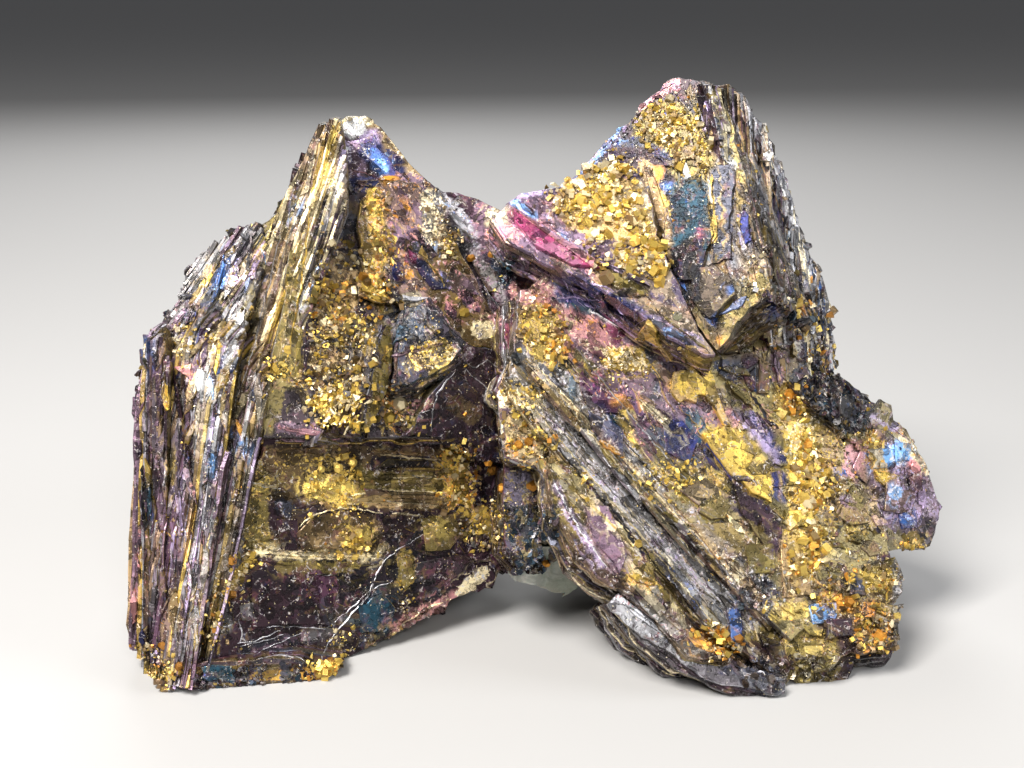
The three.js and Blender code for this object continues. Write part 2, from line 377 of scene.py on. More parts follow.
def section(corners, normal, height):
    """The outline where a plane cuts the hull of some corners."""
    hull = bmesh.new()
    for corner in corners:
        hull.verts.new(corner)
    bmesh.ops.convex_hull(hull, input=hull.verts)
    cut = []
    for edge in hull.edges:
        a, b = (vert.co for vert in edge.verts)
        ha, hb = a.dot(normal) - height, b.dot(normal) - height
        if (ha > 0) != (hb > 0):
            cut.append(a.lerp(b, ha / (ha - hb)))
    hull.free()
    return cut


def sliced(heap, corners, across, seed, thick, rims, rough, cell, spacing, sway):
    """Plates that face across, each with the outline where its plane cuts the book."""
    heights = [corner.dot(across) for corner in corners]
    low, high = min(heights), max(heights)
    level = low + 0.1
    number = 0
    while level < high - 0.15:
        top = min(level + rng.uniform(*thick), high - 0.02)
        cut = section(corners, across, (level + top) / 2)
        if len(cut) > 2:
            lie = Lie(sum(cut, Vector()) / len(cut), across)
            flat = sorted((lie.flat(p) for p in cut), key=lambda p: math.atan2(p[1], p[0]))
            if area_of(flat) > LEAST_SECTION:
                grow = 1 + rng.uniform(-0.018, 0.010) * sway
                flat = [(x * grow, y * grow) for x, y in flat]
                half = (top - level) / 2
                plate(heap, lie, flat, -half - 0.1, half, rng.choice(rims), spacing=spacing,
                      rough=rough, seed=seed + number * SEED_STEP, tilt=0.006,
                      top_cell=cell if top > high - 1.2 else None,
                      base_cell=cell if level < low + 0.9 else None)
        level = top
        number += 1


def book(heap, face, through, outline, stack, runs=None, back=1.0, plates=None, thick=(0.6, 1.3),
         rims=("grey", "plum", "slate"), rough=0.5, shown=1, cell=0.85, spacing=1.1, sway=0.5,
         base=True, streaks=0.0):
    """Cuts a book into plates. plates is the direction they face, if not the face's own."""
    normal, middle, front, rear = prism(face, through, outline, stack, runs, back)
    seed = rng.uniform(0, 900)
    if plates:
        sliced(heap, front + rear, facing(*plates), seed, thick, rims, rough, cell, spacing, sway)
        return
    lie = Lie(middle, normal)
    shape = [lie.flat(corner) for corner in front]
    lean = facing(*(runs or face)) * -1
    depth = 0.0
    number = 0
    while depth < stack:
        step = min(rng.uniform(*thick), stack - depth + 0.05)
        share = (depth + step / 2) / stack
        size = (1 + (back - 1) * share) * rng.uniform(1 - 0.012 * sway, 1 + 0.004 * sway)
        slide = lean * (depth / -lean.dot(normal)) if runs else normal * -depth
        bent = rng.uniform(-sway, sway * 0.4) * 0.3 if number else 0.0
        drift = (slide.dot(lie.across), slide.dot(lie.along))
        turned = [(x * size + drift[0] + bent, y * size + drift[1] + bent) for x, y in shape]
        last = depth + step >= stack - 0.02
        plate(heap, lie, turned, -depth - step - PLATE_OVERLAP, -depth, rng.choice(rims),
              spacing=spacing, rough=rough, seed=seed + number * SEED_STEP, streaks=streaks,
              top_cell=cell if number < shown else None,
              base_cell=BASE_CELL if last and base else None, tilt=0.002 if number else 0.0)
        depth += step
        number += 1


# %% [markdown]
# The left lobe: a pyramid of books over one big dark book, with a wall of plate edges down its
# left side. The numbers are those of the solid's books, so the plates fill it, except that most
# books of the wall lean back more.

# %% Left lobe
left_front = Heap("left_books")
left_wall = Heap("left_wall_plates")
left_peak = Heap("left_pyramid_plates")
PEAK = ("tan", "olive", "grey", "cream", "plum", "bronze", "silver", "mauve", "black", "cream")
DARK = ("plum", "aubergine", "slate", "black", "bronze")
WALL = ("mauve", "plum", "grey", "aubergine", "slate", "silver", "bronze", "tan", "mauve", "gold",
        "lavender", "black")

book(left_front, (10, 16), (-27, -5, -1),
     places("-51,-37.5 -53,-7 -46,14 -24.5,36 -20.5,37 -10.5,23.5 -3,12.5 -3.5,-24.5 -13.5,-32.5 "
            "-27,-37.5 -43.5,-41.5"),
     33, back=0.85, thick=(1.4, 2.6), rims=DARK, spacing=2.0)
book(left_front, (27, 12), (-45, -44, -15),
     places("-45.5,-45 -42.5,-34.5 -40,-23 -37,-8 -36,-6 -24,-7.5 -4.5,-8 -.5,-14 -1,-25 -3,-30 "
            "-10.5,-33 -18.5,-37 -26,-41 -40,-45.5"),
     32, thick=(0.5, 1.1), rims=DARK, shown=2)
book(left_peak, (22, 28), (-23, 39.5, 1),
     places("-28.5,36 -24.5,39.5 -20.5,39.5 -14.5,32 -10,28 -3,17 1,6 -2,-8 -36.5,-8 -37,-2.5 "
            "-33.5,12.5 -31,28.5"),
     26, thick=(0.6, 1.2), rims=("gold", "grey", "bronze", "slate", "mauve"), shown=2, rough=0.25,
     streaks=-60)
book(left_peak, (22, 28), (-18, 29.5, -2.5),
     places("-22,27 -19.5,29.5 -14.5,30 -12,27 -6,18 1,6 -2,4.5 -8.5,7 -16.5,12 -22,14"),
     6, thick=(0.4, 0.9), rims=("tan", "bronze", "plum", "gold"), base=False)
book(left_peak, (55, 15), (-18.5, 8, -9.5),
     places("-19,9 -17.5,9 -17,6 -18.5,-2.5 -20.5,-8.5 -23.5,-8 -21,0"),
     10, thick=(0.4, 0.8), rims=("black", "slate", "grey"), base=False)
book(left_peak, (5, 35), (-13.5, 8, -8.5),
     places("-17,12 -12,13 -9.5,9.5 -7,6 -9.5,3 -14.5,0 -17.5,-1 -17.5,6"),
     9, thick=(0.4, 0.9), rims=("grey", "slate", "teal"), base=False)
book(left_peak, (30, 5), (-6, -2.5, -6),
     places("-9.5,6 -6,6 0,4.5 .5,-2.5 -.5,-12.5 -12,-8.5 -16.5,-8 -13,-4 -8.5,1.5"),
     12, thick=(0.5, 1.0), rims=("plum", "slate", "black"), base=False)
book(left_wall, (-30, 22), (-31, 12.5, -9),
     places("-31,28.5 -28,38 -25.5,39 -24.5,33 -24.5,25 -28.5,18 -31,8 -36,-7 -42,-7 -39.5,8 "
            "-36.5,20.5"),
     24, runs=(5, 10), plates=(78, -16), thick=(0.3, 0.6), rims=PEAK, sway=1.2, spacing=2.4,
     rough=0.35)
book(left_wall, (-30, 20), (-40, -26, -16.5),
     places("-35.5,1 -37,-8 -40,-23.5 -42.5,-34.5 -45.5,-45 -49,-45 -47.5,-32 -46,-17 -42,4"),
     26, runs=(5, -12), plates=(78, -9), thick=(0.28, 0.6), rims=WALL, sway=1.4, spacing=2.2,
     rough=0.4)
book(left_wall, (-25, 20), (-47.5, -26, -15),
     places("-40,5 -43.5,-17 -45,-32 -47,-45 -52,-45 -53,-32 -52.5,-14 -51.5,2 -46,8"),
     30, runs=(5, -12), plates=(80, -5), thick=(0.28, 0.62), rims=WALL, sway=1.4, spacing=2.2,
     rough=0.4)
book(left_wall, (-25, 12), (-53, -26, -12),
     places("-50.5,3 -51,-14 -52,-32 -51,-44.5 -53.5,-44.5 -56,-37.5 -56.5,-32 -55,-17 -55,-2.5 "
            "-54,6.5 -52,7"),
     30, runs=(5, 5), plates=(82, 0), thick=(0.3, 0.65), rims=WALL, sway=1.2, spacing=2.2,
     rough=0.4)
book(left_wall, (-20, 30), (-43, 12.5, -6),
     places("-47.5,17 -44.5,20.5 -40,23 -37,23.5 -36,20.5 -38.5,11 -42,-2.5 -51,-2.5 -52,5.5 -49,11.5"),
     28, runs=(0, 25), plates=(70, -28), thick=(0.28, 0.6), rough=0.25,
     rims=("silver", "grey", "slate", "mauve", "olive", "grey", "slate"), sway=1.2, spacing=2.0)
book(left_wall, (10, 0), (-38.5, -43.5, -14),
     places("-52,-42.5 -45,-40 -31,-40 -24.5,-41 -27,-44 -31,-45.5 -49,-45.5"),
     26, thick=(0.8, 1.6), rims=DARK)
book(left_front, (5, 0), (-16.5, -36, 8),
     places("-25.5,-30 -9,-30 -9.5,-35.5 -13.5,-39.5 -21,-42 -25.5,-40"),
     22, thick=(0.8, 1.6), rims=("slate", "bronze", "grey"), rough=0.8)

# %% [markdown]
# The right lobe is one leaning book with a terrace across its shoulder, a crest of steep plates
# above, and a stack of thin plates that runs down its front from the middle. Shelves and a round
# bump finish its right side.

# %% Right lobe
right_main = Heap("right_books")
right_top = Heap("right_top_plates")
right_low = Heap("right_diagonal_plates")
right_far = Heap("right_shelves")
EDGES = ("grey", "mauve", "slate", "silver", "plum", "bronze", "olive")
STACK = ("silver", "tan", "grey", "slate", "olive", "plum", "cream", "bronze")

book(right_main, (8, 24), (26, -2.5, 3),
     places(".5,-2.5 -2.5,22.5 7,28 14.5,34.5 23.5,43.5 31,43 36,37.5 41.5,22 47,.5 51,-17 55.5,-26 "
            "55,-36 47,-42 38,-43 16,-30.5 5.5,-15.5"),
     30, back=0.85, thick=(1.4, 2.6), rims=DARK, spacing=2.0, streaks=-45)
book(right_far, (25, 20), (57, -12.5, 2),
     places("48,-2.5 52.5,-3 58,-6 61.5,-11.5 63.5,-18 61,-23.5 57.5,-24.5 51,-26"),
     26, back=0.85, thick=(0.6, 1.2), rims=("mauve", "silver", "rose", "lavender", "slate"))
book(right_main, (20, 34), (39.5, -33.5, -14),
     places("0,4.5 0,14 7,17 23,15.5 38,12.5 42.5,8 45,-2.5 50,-12.5 54,-17 56.5,-26 48.5,-30.5 "
            "41,-37.5 37,-33.5 19,-15.5"),
     22, thick=(0.5, 1.0), rims=EDGES, shown=2, streaks=-47)
book(right_top, (2, 42), (13, 22.5, -8.5),
     places("-3.5,24.5 -1,27 1,28.5 7,29.5 14.5,35.5 19,30 23,18 27.5,8 30,4.5 28.5,4.5 19,9.5 13,14 "
            "-1,21"),
     7, thick=(0.4, 0.9), rims=("lavender", "indigo", "mauve", "olive", "tan", "plum"), rough=0.3,
     streaks=-35)
book(right_top, (-28, 22), (26, 37.5, -4),
     places("11.5,33 14.5,36 19,41 23.5,44.5 28.5,45 31,42 34,33 37,20.5 39.5,12.5 34.5,9.5 30,5 "
            "23,14.5 19,27"),
     28, thick=(0.5, 1.0), rims=("grey", "slate", "bronze", "slate", "mauve"), shown=2, streaks=-70)
book(right_top, (38, 14), (36, 25, -3),
     places("28.5,44.5 33,43.5 36,39 39,33 41,27 43,19 45.5,15 46.5,10 48,2 42,0 36,8 33,22 30,36"),
     22, runs=(8, 10), plates=(-62, 4), thick=(0.3, 0.7),
     rims=("silver", "black", "silver", "cream", "slate", "grey", "lavender", "tan", "black"), sway=1.2,
     spacing=1.6)
book(right_low, (20, 34), (13, -14, -12.5),
     places("0,4.5 5,2 19,-14 37,-33.5 42.5,-41 40,-45 33,-39.5 19,-25.5 6.5,-10 -1.5,.5"),
     16, thick=(0.35, 0.7), rims=STACK, streaks=-46)
book(right_low, (15, 36), (16, -23, -16),
     places("5,-10.5 9,-11.5 19,-23.5 27.5,-37.5 33,-40 31.5,-41 26,-40 19,-32 9.5,-26 6.5,-20"),
     9, thick=(0.35, 0.7), rims=STACK, streaks=-48)
book(right_low, (10, 30), (26, -37.5, -17.5),
     places("14.5,-32 17.5,-29.5 21.5,-29.5 26,-37.5 33.5,-41.5 40,-43 40,-45.5 37.5,-46 32,-45 "
            "24.5,-42 19,-37.5"),
     17, thick=(0.4, 0.8), rims=STACK, streaks=-40)
book(right_far, (8, 42), (50, -30.5, -10),
     places("37,-33.5 41,-31.5 50,-28 56.5,-26 58,-30.5 54,-33.5 48.5,-35.5 41,-37.5"),
     8, thick=(0.5, 1.1), rims=("gold", "olive", "bronze", "grey", "plum"))
book(right_far, (8, 42), (50, -37.5, -13),
     places("39.5,-37.5 50,-33.5 57.5,-32 57.5,-37.5 56,-39.5 50,-40 47,-42 41,-41"),
     10, thick=(0.5, 1.1), rims=("olive", "bronze", "grey", "plum", "gold"))
book(right_far, (10, 10), (45, -42, -13),
     places("36,-37 50,-37.5 49.5,-42 47.5,-45 42.5,-45 37,-43"),
     18, thick=(0.8, 1.4), rims=DARK)
book(right_far, (35, 20), (48.5, -4, -2),
     places("42.5,.5 48,1 52.5,-2.5 54,-8 51.5,-10.5 46.5,-7"),
     14, thick=(0.5, 1.0), rims=("black", "slate", "grey"), rough=0.9)

# %% [markdown]
# The back of such a group is rarely turned to the front, so it's made of plain books in the same
# style, a little thinner than the solid's. Small books fill the valley between the lobes, and the
# quartz sits under them.

# %% Back and middle
back_left = Heap("back_left_books")
back_right = Heap("back_right_books")
middle_heap = Heap("middle_books")
BACK_RIMS = ("slate", "plum", "bronze", "grey", "indigo", "aubergine", "olive")
PLAIN = dict(thick=(0.7, 1.6), rims=BACK_RIMS, cell=1.7, spacing=1.7)
book(back_left, (205, 22), (-24, 2, 32.5),
     places("-47,-24 -50,-4 -43,12 -30,27 -22,29 -15,18 -12,-4 -17,-28 -32,-35"), 16, **PLAIN)
book(back_left, (160, 12), (-18, -8, 31),
     places("-36,-30 -33,-2 -24,14 -12,16 -4,4 -5,-18 -12,-30"), 20, **PLAIN)
book(back_right, (192, 26), (24, 4, 32.5),
     places("8,-14 4,10 12,24 24,34 32,32 38,14 37,-12 26,-24"), 15, **PLAIN)
book(back_right, (150, 8), (36, -6, 31),
     places("22,-32 17,-12 26,8 38,14 47,2 52,-16 50,-31 38,-38"), 18, **PLAIN)
book(middle_heap, (0, 30), (2, -1, -9),
     places("-2,0 .5,3.5 5.5,1.5 7,-7 4,-12.5 -1,-10.5"),
     12, thick=(0.5, 1.0), rims=EDGES)
book(middle_heap, (10, 20), (2, -11, -5),
     places("-1,-5.5 5,-5.5 6.5,-17 4,-26 1,-28.5 -2,-25"),
     24, thick=(0.8, 1.6), rims=DARK)
book(middle_heap, (0, 45), (-7, 26, 6),
     places("-11,28.5 -8,28 -5,27 -1,25 1,20 2,8 -3,12 -8,22"),
     20, thick=(0.6, 1.2), rims=DARK)

QUARTZ_DEEP = 16
quartz_lump = Heap("quartz_lump", "quartz")
book(quartz_lump, (0, 0), (3, -31, 4),
     places("-3,-22 -2,-28 0,-30.5 4,-31.5 8.5,-32 10,-30 9,-22"),
     QUARTZ_DEEP, thick=(QUARTZ_DEEP, QUARTZ_DEEP), rims=("cream",), rough=0.9, spacing=0.8, sway=0)

# %% [markdown]
# Two heels carry the back of the group. They are short books that stand on the ground, with their
# plates lying flat, as the lowest broken plates under such a group do.

# %% Heels
def heel(heap, plan, height):
    """Flat plates, piled from the ground up to a height, over a plan."""
    level = 0.0
    middle = Vector((sum(x for x, _ in plan) / len(plan), sum(y for _, y in plan) / len(plan), 0))
    shape = [(x - middle.x, y - middle.y) for x, y in plan]
    lie = Lie(middle, Vector((0, 0, 1)))
    while level < height:
        thick = rng.uniform(0.8, 1.9)
        size = rng.uniform(0.93, 1.0)
        flat = [lie.flat(Vector((x * size, y * size, 0)) + middle) for x, y in shape]
        plate(heap, lie, flat, level - 0.1, min(level + thick, height), rng.choice(BACK_RIMS),
              rough=0.7, tilt=0.004, base_cell=BASE_CELL if level == 0 else None)
        level += thick


heels = Heap("back_heels")
heel(heels, places("-48,-5 -22,-9 -17,11 -28,21 -44,17"), 26)
heel(heels, places("14,-5 36,-9 43,7 32,21 17,17"), 26)
for heap in heaps.values():
    print(heap.name, heap.triangles(), "triangles")

# %% [markdown]
# On a book's face lie smaller things: flakes left from the next plate, thin ridges where plates
# meet, and grains of pyrite. Each is laid on the surface with sight lines from an elevation, so
# that a place read from the front lands on whichever plate shows there. A tree of all the faces
# so far answers where a line first meets them.

# %% Laying things on the surface
def skin_of(names):
    """The faces of some heaps as one tree."""
    points, faces = [], []
    for name in names:
        start = len(points)
        points.extend(heaps[name].points)
        faces.extend(tuple(start + i for i in face) for face in heaps[name].faces)
    return BVHTree.FromPolygons(points, faces)


skin = skin_of(heaps)


def surface(elevation, u, v):
    """The place that a sight line meets first, and the way the surface faces there."""
    place, normal, _, _ = skin.ray_cast(elevation.station, elevation.line(u, v).normalized())
    if place is None:
        return None
    return place, normal if normal.dot(elevation.into) < 0 else -normal


def inside(outline, u, v):
    """Whether a place is inside an outline, by how many edges lie to its right."""
    odd = False
    for a, b in zip(outline, outline[1:] + outline[:1]):
        if (a[1] > v) != (b[1] > v) and u < a[0] + (v - a[1]) / (b[1] - a[1]) * (b[0] - a[0]):
            odd = not odd
    return odd


def spot_in(outline):
    """A random place inside an outline."""
    us, vs = [u for u, _ in outline], [v for _, v in outline]
    for _ in range(200):
        u, v = rng.uniform(min(us), max(us)), rng.uniform(min(vs), max(vs))
        if inside(outline, u, v):
            return u, v
    return outline[0]


# %% [markdown]
# A flake is a plate a few tenths of a millimetre thick. It lies flat against the face below, so
# it takes the direction that most of the surface under it has, and the height that leaves most of
# its underside touching. A flake on a face that's seen nearly edge on would come out far too
# long, and one on a rough place could stick out like a rod, so both are left out.

# %% Flakes
FLAKE_SINKS = 0.35
TOO_EDGE_ON = -0.15
RESTS_AT = 0.62
MOST_STRETCH = 2.0
FURTHEST_OFF = 1.8


def bed_under(elevation, outline, face, hang):
    """The plane on which a flake rests, if no corner would hang further than that off the surface."""
    hits = [surface(elevation, u, v) for u, v in outline]
    if None in hits:
        return None
    middle = (sum(u for u, _ in outline) / len(outline), sum(v for _, v in outline) / len(outline))
    hits += [surface(elevation, middle[0] + (u - middle[0]) * 0.5, middle[1] + (v - middle[1]) * 0.5)
             for u, v in outline]
    hits = [hit for hit in hits if hit]
    if face:
        normal = facing(*face)
    else:
        normal = max((hit[1] for hit in hits),
                     key=lambda n: sum(max(0.0, n.dot(other[1])) ** 6 for other in hits))
    if normal.dot(elevation.into) > TOO_EDGE_ON:
        return None
    heights = sorted(place.dot(normal) for place, _ in hits)
    level = heights[int(len(heights) * RESTS_AT)]
    if level - heights[0] > hang or heights[-1] - level > hang:
        return None
    nearest = min((place for place, _ in hits), key=lambda place: abs(place.dot(normal) - level))
    return nearest, normal


def nudge(amount):
    """A small random step, any way."""
    return Vector((rng.gauss(0, amount), rng.gauss(0, amount), rng.gauss(0, amount)))


def flake(heap, colour, outline, lift=0.3, face=None, elevation=FRONT, hold=(0.45, 0.6),
          rough=0.2, cell=None, turned=0.0, uneven=0.1, hang=2.6, streaks=0.0):
    """Lays one flake, if there is a bed for it, and says whether it did."""
    bed = bed_under(elevation, outline, face, hang)
    if bed is None:
        return False
    place, normal = bed
    if turned:
        normal = (normal + nudge(turned)).normalized()
    corners = [elevation.carried(u, v, place, normal) for u, v in outline]
    middle = sum(corners, Vector()) / len(corners)
    drawn = max(math.dist(outline[0], place) for place in outline)
    if max((corner - corners[0]).length for corner in corners) > drawn * MOST_STRETCH:
        return False
    if face is None and max(skin.find_nearest(corner)[3] for corner in corners) > FURTHEST_OFF:
        return False
    lie = Lie(middle, normal)
    shape = []
    for corner, following in zip(corners, corners[1:] + corners[:1]):
        shape.append(lie.flat(corner + nudge(uneven)))
        shape.append(lie.flat(corner.lerp(following, rng.uniform(0.3, 0.7)) + nudge(uneven)))
    plate(heap, lie, shape, -FLAKE_SINKS, lift, colour, spacing=0.9, rough=rough, hold=hold,
          top_cell=cell, streaks=streaks)
    return True


def scattered_flakes(heap, outline, count, sizes, colours, hold=(0.1, 0.4), lifts=(0.06, 0.28),
                     slant=0.0, stretch=1.6, elevation=FRONT, turned=0.0):
    """Random flakes, longer along the slant, which is in degrees from level."""
    for _ in range(count):
        u, v = spot_in(outline)
        size = rng.triangular(sizes[0], sizes[1], sizes[0])
        lean = math.radians(slant + rng.gauss(0, 8))
        corners = rng.randint(4, 6)
        start = rng.uniform(0, 6)
        shape = []
        for k in range(corners):
            a = start + 2 * math.pi * k / corners + rng.uniform(-0.35, 0.35)
            x, y = math.cos(a) * size * stretch / 2, math.sin(a) * size / 2
            shape.append((u + x * math.cos(lean) - y * math.sin(lean),
                          v + x * math.sin(lean) + y * math.cos(lean)))
        flake(heap, rng.choice(colours), shape, lift=rng.uniform(*lifts), elevation=elevation,
              hold=hold, rough=0.12, turned=turned, cell=1.0 if size > 3 else None, uneven=0.05,
              hang=0.9, streaks=slant)


# %% [markdown]
# Where a bent plate tore, its edge stands up as a thin bright line, often with a twin beside it.
# A ridge follows the surface under a route, a fraction of a millimetre wide and high.

# %% Ridges
RIDGE_STEP = 0.55
RIDGE_WANDER = 0.16
LONGEST_LEAP = 3


def along_route(route, step, wander):
    """The route in short steps, each moved a little to either side."""
    seed = rng.uniform(0, 300)
    walk = []
    for a, b in zip(route, route[1:]):
        du, dv = b[0] - a[0], b[1] - a[1]
        length = math.hypot(du, dv)
        for k in range(max(1, round(length / step))):
            share = k / max(1, round(length / step))
            u, v = a[0] + du * share, a[1] + dv * share
            off = noise.noise((u * 1.1, v * 1.1, seed)) * wander * 2
            walk.append((u - dv / length * off, v + du / length * off))
    return walk + [route[-1]]


def ridge(heap, colour, route, width=0.35, height=0.22, elevation=FRONT, wander=RIDGE_WANDER,
          hold=0.9):
    """A three-sided rod along the surface, thickest in the middle of its route."""
    hits = [surface(elevation, u, v) for u, v in along_route(route, RIDGE_STEP, wander)]
    hits = [hit for hit in hits if hit]
    leaps = [(a[0] - b[0]).length for a, b in zip(hits, hits[1:])]
    if len(hits) < 3 or max(leaps) > LONGEST_LEAP:
        return
    points, lies, faces = [], [], []
    for k, (place, normal) in enumerate(hits):
        ahead = hits[min(k + 1, len(hits) - 1)][0] - hits[max(k - 1, 0)][0]
        toward = (normal - elevation.into * 0.7).normalized()
        side = ahead.cross(toward)
        side = side.normalized() if side.length > 1e-6 else elevation.right
        grow = math.sin(math.pi * (k + 0.35) / (len(hits) - 0.3)) ** 0.4 * rng.uniform(0.65, 1.2)
        for across, up in ((-0.5, -0.3), (0.5, -0.3), (0.12, 1.0)):
            points.append(place + side * across * width * grow + toward * up * height * grow)
            lies.append((k * RIDGE_STEP, across, up))
    for k in range(len(hits) - 1):
        for a, b in ((0, 1), (1, 2), (2, 0)):
            faces.append((3 * k + a, 3 * k + 3 + a, 3 * k + 3 + b, 3 * k + b))
    last = 3 * len(hits) - 3
    faces += [(0, 1, 2), (last + 2, last + 1, last)]
    heap.add(points, lies, faces, PALETTE[colour], hold)


# %% [markdown]
# Pyrite grows as cubes and as twelve-sided pyritohedra, and most grains are broken shards. Each
# shape is made once as a hull of its corners.

# %% Grain shapes
def hull_of(corners):
    """The points and faces of the hull of some corners."""
    shape = bmesh.new()
    for corner in corners:
        shape.verts.new(corner)
    made = bmesh.ops.convex_hull(shape, input=shape.verts)
    spare = {v for v in made["geom_interior"] + made["geom_unused"] if isinstance(v, bmesh.types.BMVert)}
    bmesh.ops.delete(shape, geom=list(spare), context="VERTS")
    shape.verts.index_update()
    points = [v.co.copy() for v in shape.verts]
    faces = [tuple(v.index for v in face.verts) for face in shape.faces]
    shape.free()
    return points, faces


def signs(a, b, c):
    """The corners (±a, ±b, ±c) of a box, without repeats."""
    return {(a * i, b * j, c * k) for i in (1, -1) for j in (1, -1) for k in (1, -1)}


def shard():
    """A broken crystal: few corners, so large flat faces, and flatter than it's wide."""
    corners = []
    for _ in range(8):
        corner = Vector((rng.gauss(0, 1), rng.gauss(0, 1), rng.gauss(0, 0.7))).normalized()
        corners.append(Vector((corner.x * 1.15, corner.y * 0.9, corner.z * 0.7)) * rng.uniform(0.7, 1))
    return hull_of(corners)


def thin_blade():
    """A small six-sided plate, for the rough dark matrix."""
    ring = [(math.cos(math.pi * k / 3), 0.8 * math.sin(math.pi * k / 3)) for k in range(6)]
    return hull_of([(x, y, z) for x, y in ring for z in (-0.09, 0.09)])


CUBE = hull_of(signs(0.62, 0.62, 0.62))
PYRITOHEDRON = hull_of(signs(0.6, 0.6, 0.6) | signs(0, 0.92, 0.42) | signs(0.92, 0.42, 0)
                       | signs(0.42, 0, 0.92))
SHARDS = [shard() for _ in range(9)]
BLADE = thin_blade()


def grain(heap, shape, place, size, colour, squash=0.2, hold=0.92, toward=None):
    """One copy of a shape, turned any way or with its flat side toward a direction."""
    axis = Vector((rng.gauss(0, 1), rng.gauss(0, 1), rng.gauss(0, 1))).normalized()
    turn = Matrix.Rotation(rng.uniform(0, 2 * math.pi), 3, axis)
    if toward is not None:
        turn = toward.to_track_quat("Z", "Y").to_matrix() @ Matrix.Rotation(rng.uniform(0, 6.28), 3, "Z")
    scale = [size / 2 * rng.uniform(1 - squash, 1 + squash) for _ in range(3)]
    points = [place + turn @ Vector([c * s for c, s in zip(corner, scale)]) for corner in shape[0]]
    shift = rng.uniform(0, 90)
    lies = [(corner[0] * size + shift, corner[1] * size, corner[2] * size) for corner in shape[0]]
    bright = rng.uniform(0.55, 1.25)
    heap.add(points, lies, shape[1], tuple(c * bright for c in PALETTE[colour]), hold)


# %% [markdown]
# A crust strews copies of these shapes by the hundred, in patches with bare places between, most
# of them half buried with their broad side outward, and some riding on their neighbours. Rubble
# is strewn in the same way, of small blades.

# %% Crusts and rubble
CUBE_SHARE = 0.2
GRAIN_HOLD = 0.85
BLADE_HOLD = 0.5
STREWN_WIDE = 0.8
BARE_BELOW = -0.16
TRIES = 3


def crust(heap, outline, count, sizes, colours, elevation=FRONT, pile=0.3):
    """Grains strewn over an outline, in patches. pile is how far some ride above the surface."""
    seed = rng.uniform(0, 300)
    laid = 0
    for _ in range(count * TRIES):
        u, v = spot_in(outline)
        u, v = u + rng.gauss(0, STREWN_WIDE), v + rng.gauss(0, STREWN_WIDE)
        patch = noise.noise((u * 0.4, v * 0.4, seed)) + 0.6 * noise.noise((u * 1.1, v * 1.1, seed))
        if laid == count or patch < BARE_BELOW:
            continue
        hit = surface(elevation, u, v)
        if hit is None:
            continue
        laid += 1
        size = sizes[0] + (sizes[1] - sizes[0]) * rng.random() ** 2.3
        shape = CUBE if rng.random() < CUBE_SHARE else rng.choice(SHARDS)
        toward = (hit[1] + nudge(0.4)).normalized()
        rise = size * rng.uniform(-0.2, 0.1) + rng.uniform(0, pile)
        grain(heap, shape, hit[0] + toward * rise, size, rng.choice(colours), hold=GRAIN_HOLD,
              toward=None if shape is CUBE else toward, squash=0.35)


def matrix(heap, outline, count, sizes, colours, elevation=FRONT, splay=0.6):
    """Small dark blades that stand every way, as where plates were crushed."""
    for _ in range(count):
        hit = surface(elevation, *spot_in(outline))
        if hit is None:
            continue
        toward = (hit[1] + nudge(splay)).normalized()
        size = rng.uniform(*sizes)
        grain(heap, BLADE, hit[0] + toward * size * 0.1, size, rng.choice(colours), squash=0.3,
              hold=BLADE_HOLD, toward=toward)


# %% [markdown]
# The broad faces of the books aren't single planes. Hundreds of thin remnants of the plates above
# lie on them, long in the direction in which the book tore. These small flakes take the colour of
# the face that they lie on, and show only as steps. Each line here is a field of them: the heap,
# the colours, how many, the least and greatest size, the slant and stretch, how far they turn out
# of the face, how firmly face and rim hold a colour of their own, and the outline of the field.

# %% Steps on the faces
left_flakes = Heap("left_flakes")
right_flakes = Heap("right_flakes")
FIELDS = """
left_flakes steps 110 1.2 6 -2 3.6 0 .1 .4 -40,-9 -5,-9 -1,-26 -15,-35 -38,-43 -43,-38
left_flakes steps 150 .8 3.6 -55 2.2 .05 .1 .4 -28,26 -14,28 -4,17 0,6 -12,-7 -30,-7 -34,8
left_flakes silver+blue+cream+lavender+grey+olive+slate+gold 150 .5 2.4 68 3.4 .1 .35 .6 \
    -47,16 -36,22 -37,-4 -50,0
left_flakes silver+mauve+gold+plum+aubergine+grey+tan 240 .4 1.7 88 5.5 .08 .3 .55 \
    -55,3 -36,2 -46,-42 -55,-42
right_flakes mauve+gold+plum+black+indigo 190 .5 2.6 -50 3.4 0 .2 .4 \
    0,20 12,16 30,4 44,-8 47,-28 38,-34 24,-26 5,-3
right_flakes silver+grey+tan+plum+olive+cream 190 .5 2.4 -48 4.6 0 .3 .5 \
    0,4 8,0 40,-36 36,-44 16,-30 5,-14
right_flakes olive+silver+grey+slate+bronze 150 .6 3 -70 3.4 0 .3 .5 24,43 33,43 46,8 44,-2 30,6 24,18
right_flakes rose+lavender+magenta+cream 30 .7 2.4 -35 3.4 0 .1 .4 -2,25 6,28 18,14 14,13 0,20
right_flakes olive+gold+silver+bronze 150 .7 3 -20 1.8 .12 .1 .4 44,-2 60,-8 62,-18 57,-38 44,-40 42,-28
"""
for heap, mix, count, least, most, slant, stretch, turned, face_hold, rim_hold, outline in rows(FIELDS):
    scattered_flakes(heaps[heap], outline, int(count), (least, most), shades(mix), slant=slant,
                     stretch=stretch, turned=turned, hold=(face_hold, rim_hold))
print("steps", left_flakes.triangles() + right_flakes.triangles(), "triangles")
skin = skin_of(heaps)

# %% [markdown]
# Some remnants are large and have colours of their own. They are set one by one, each as an
# outline or, for the many long narrow ones, as a sliver: two pointed ends and a width.

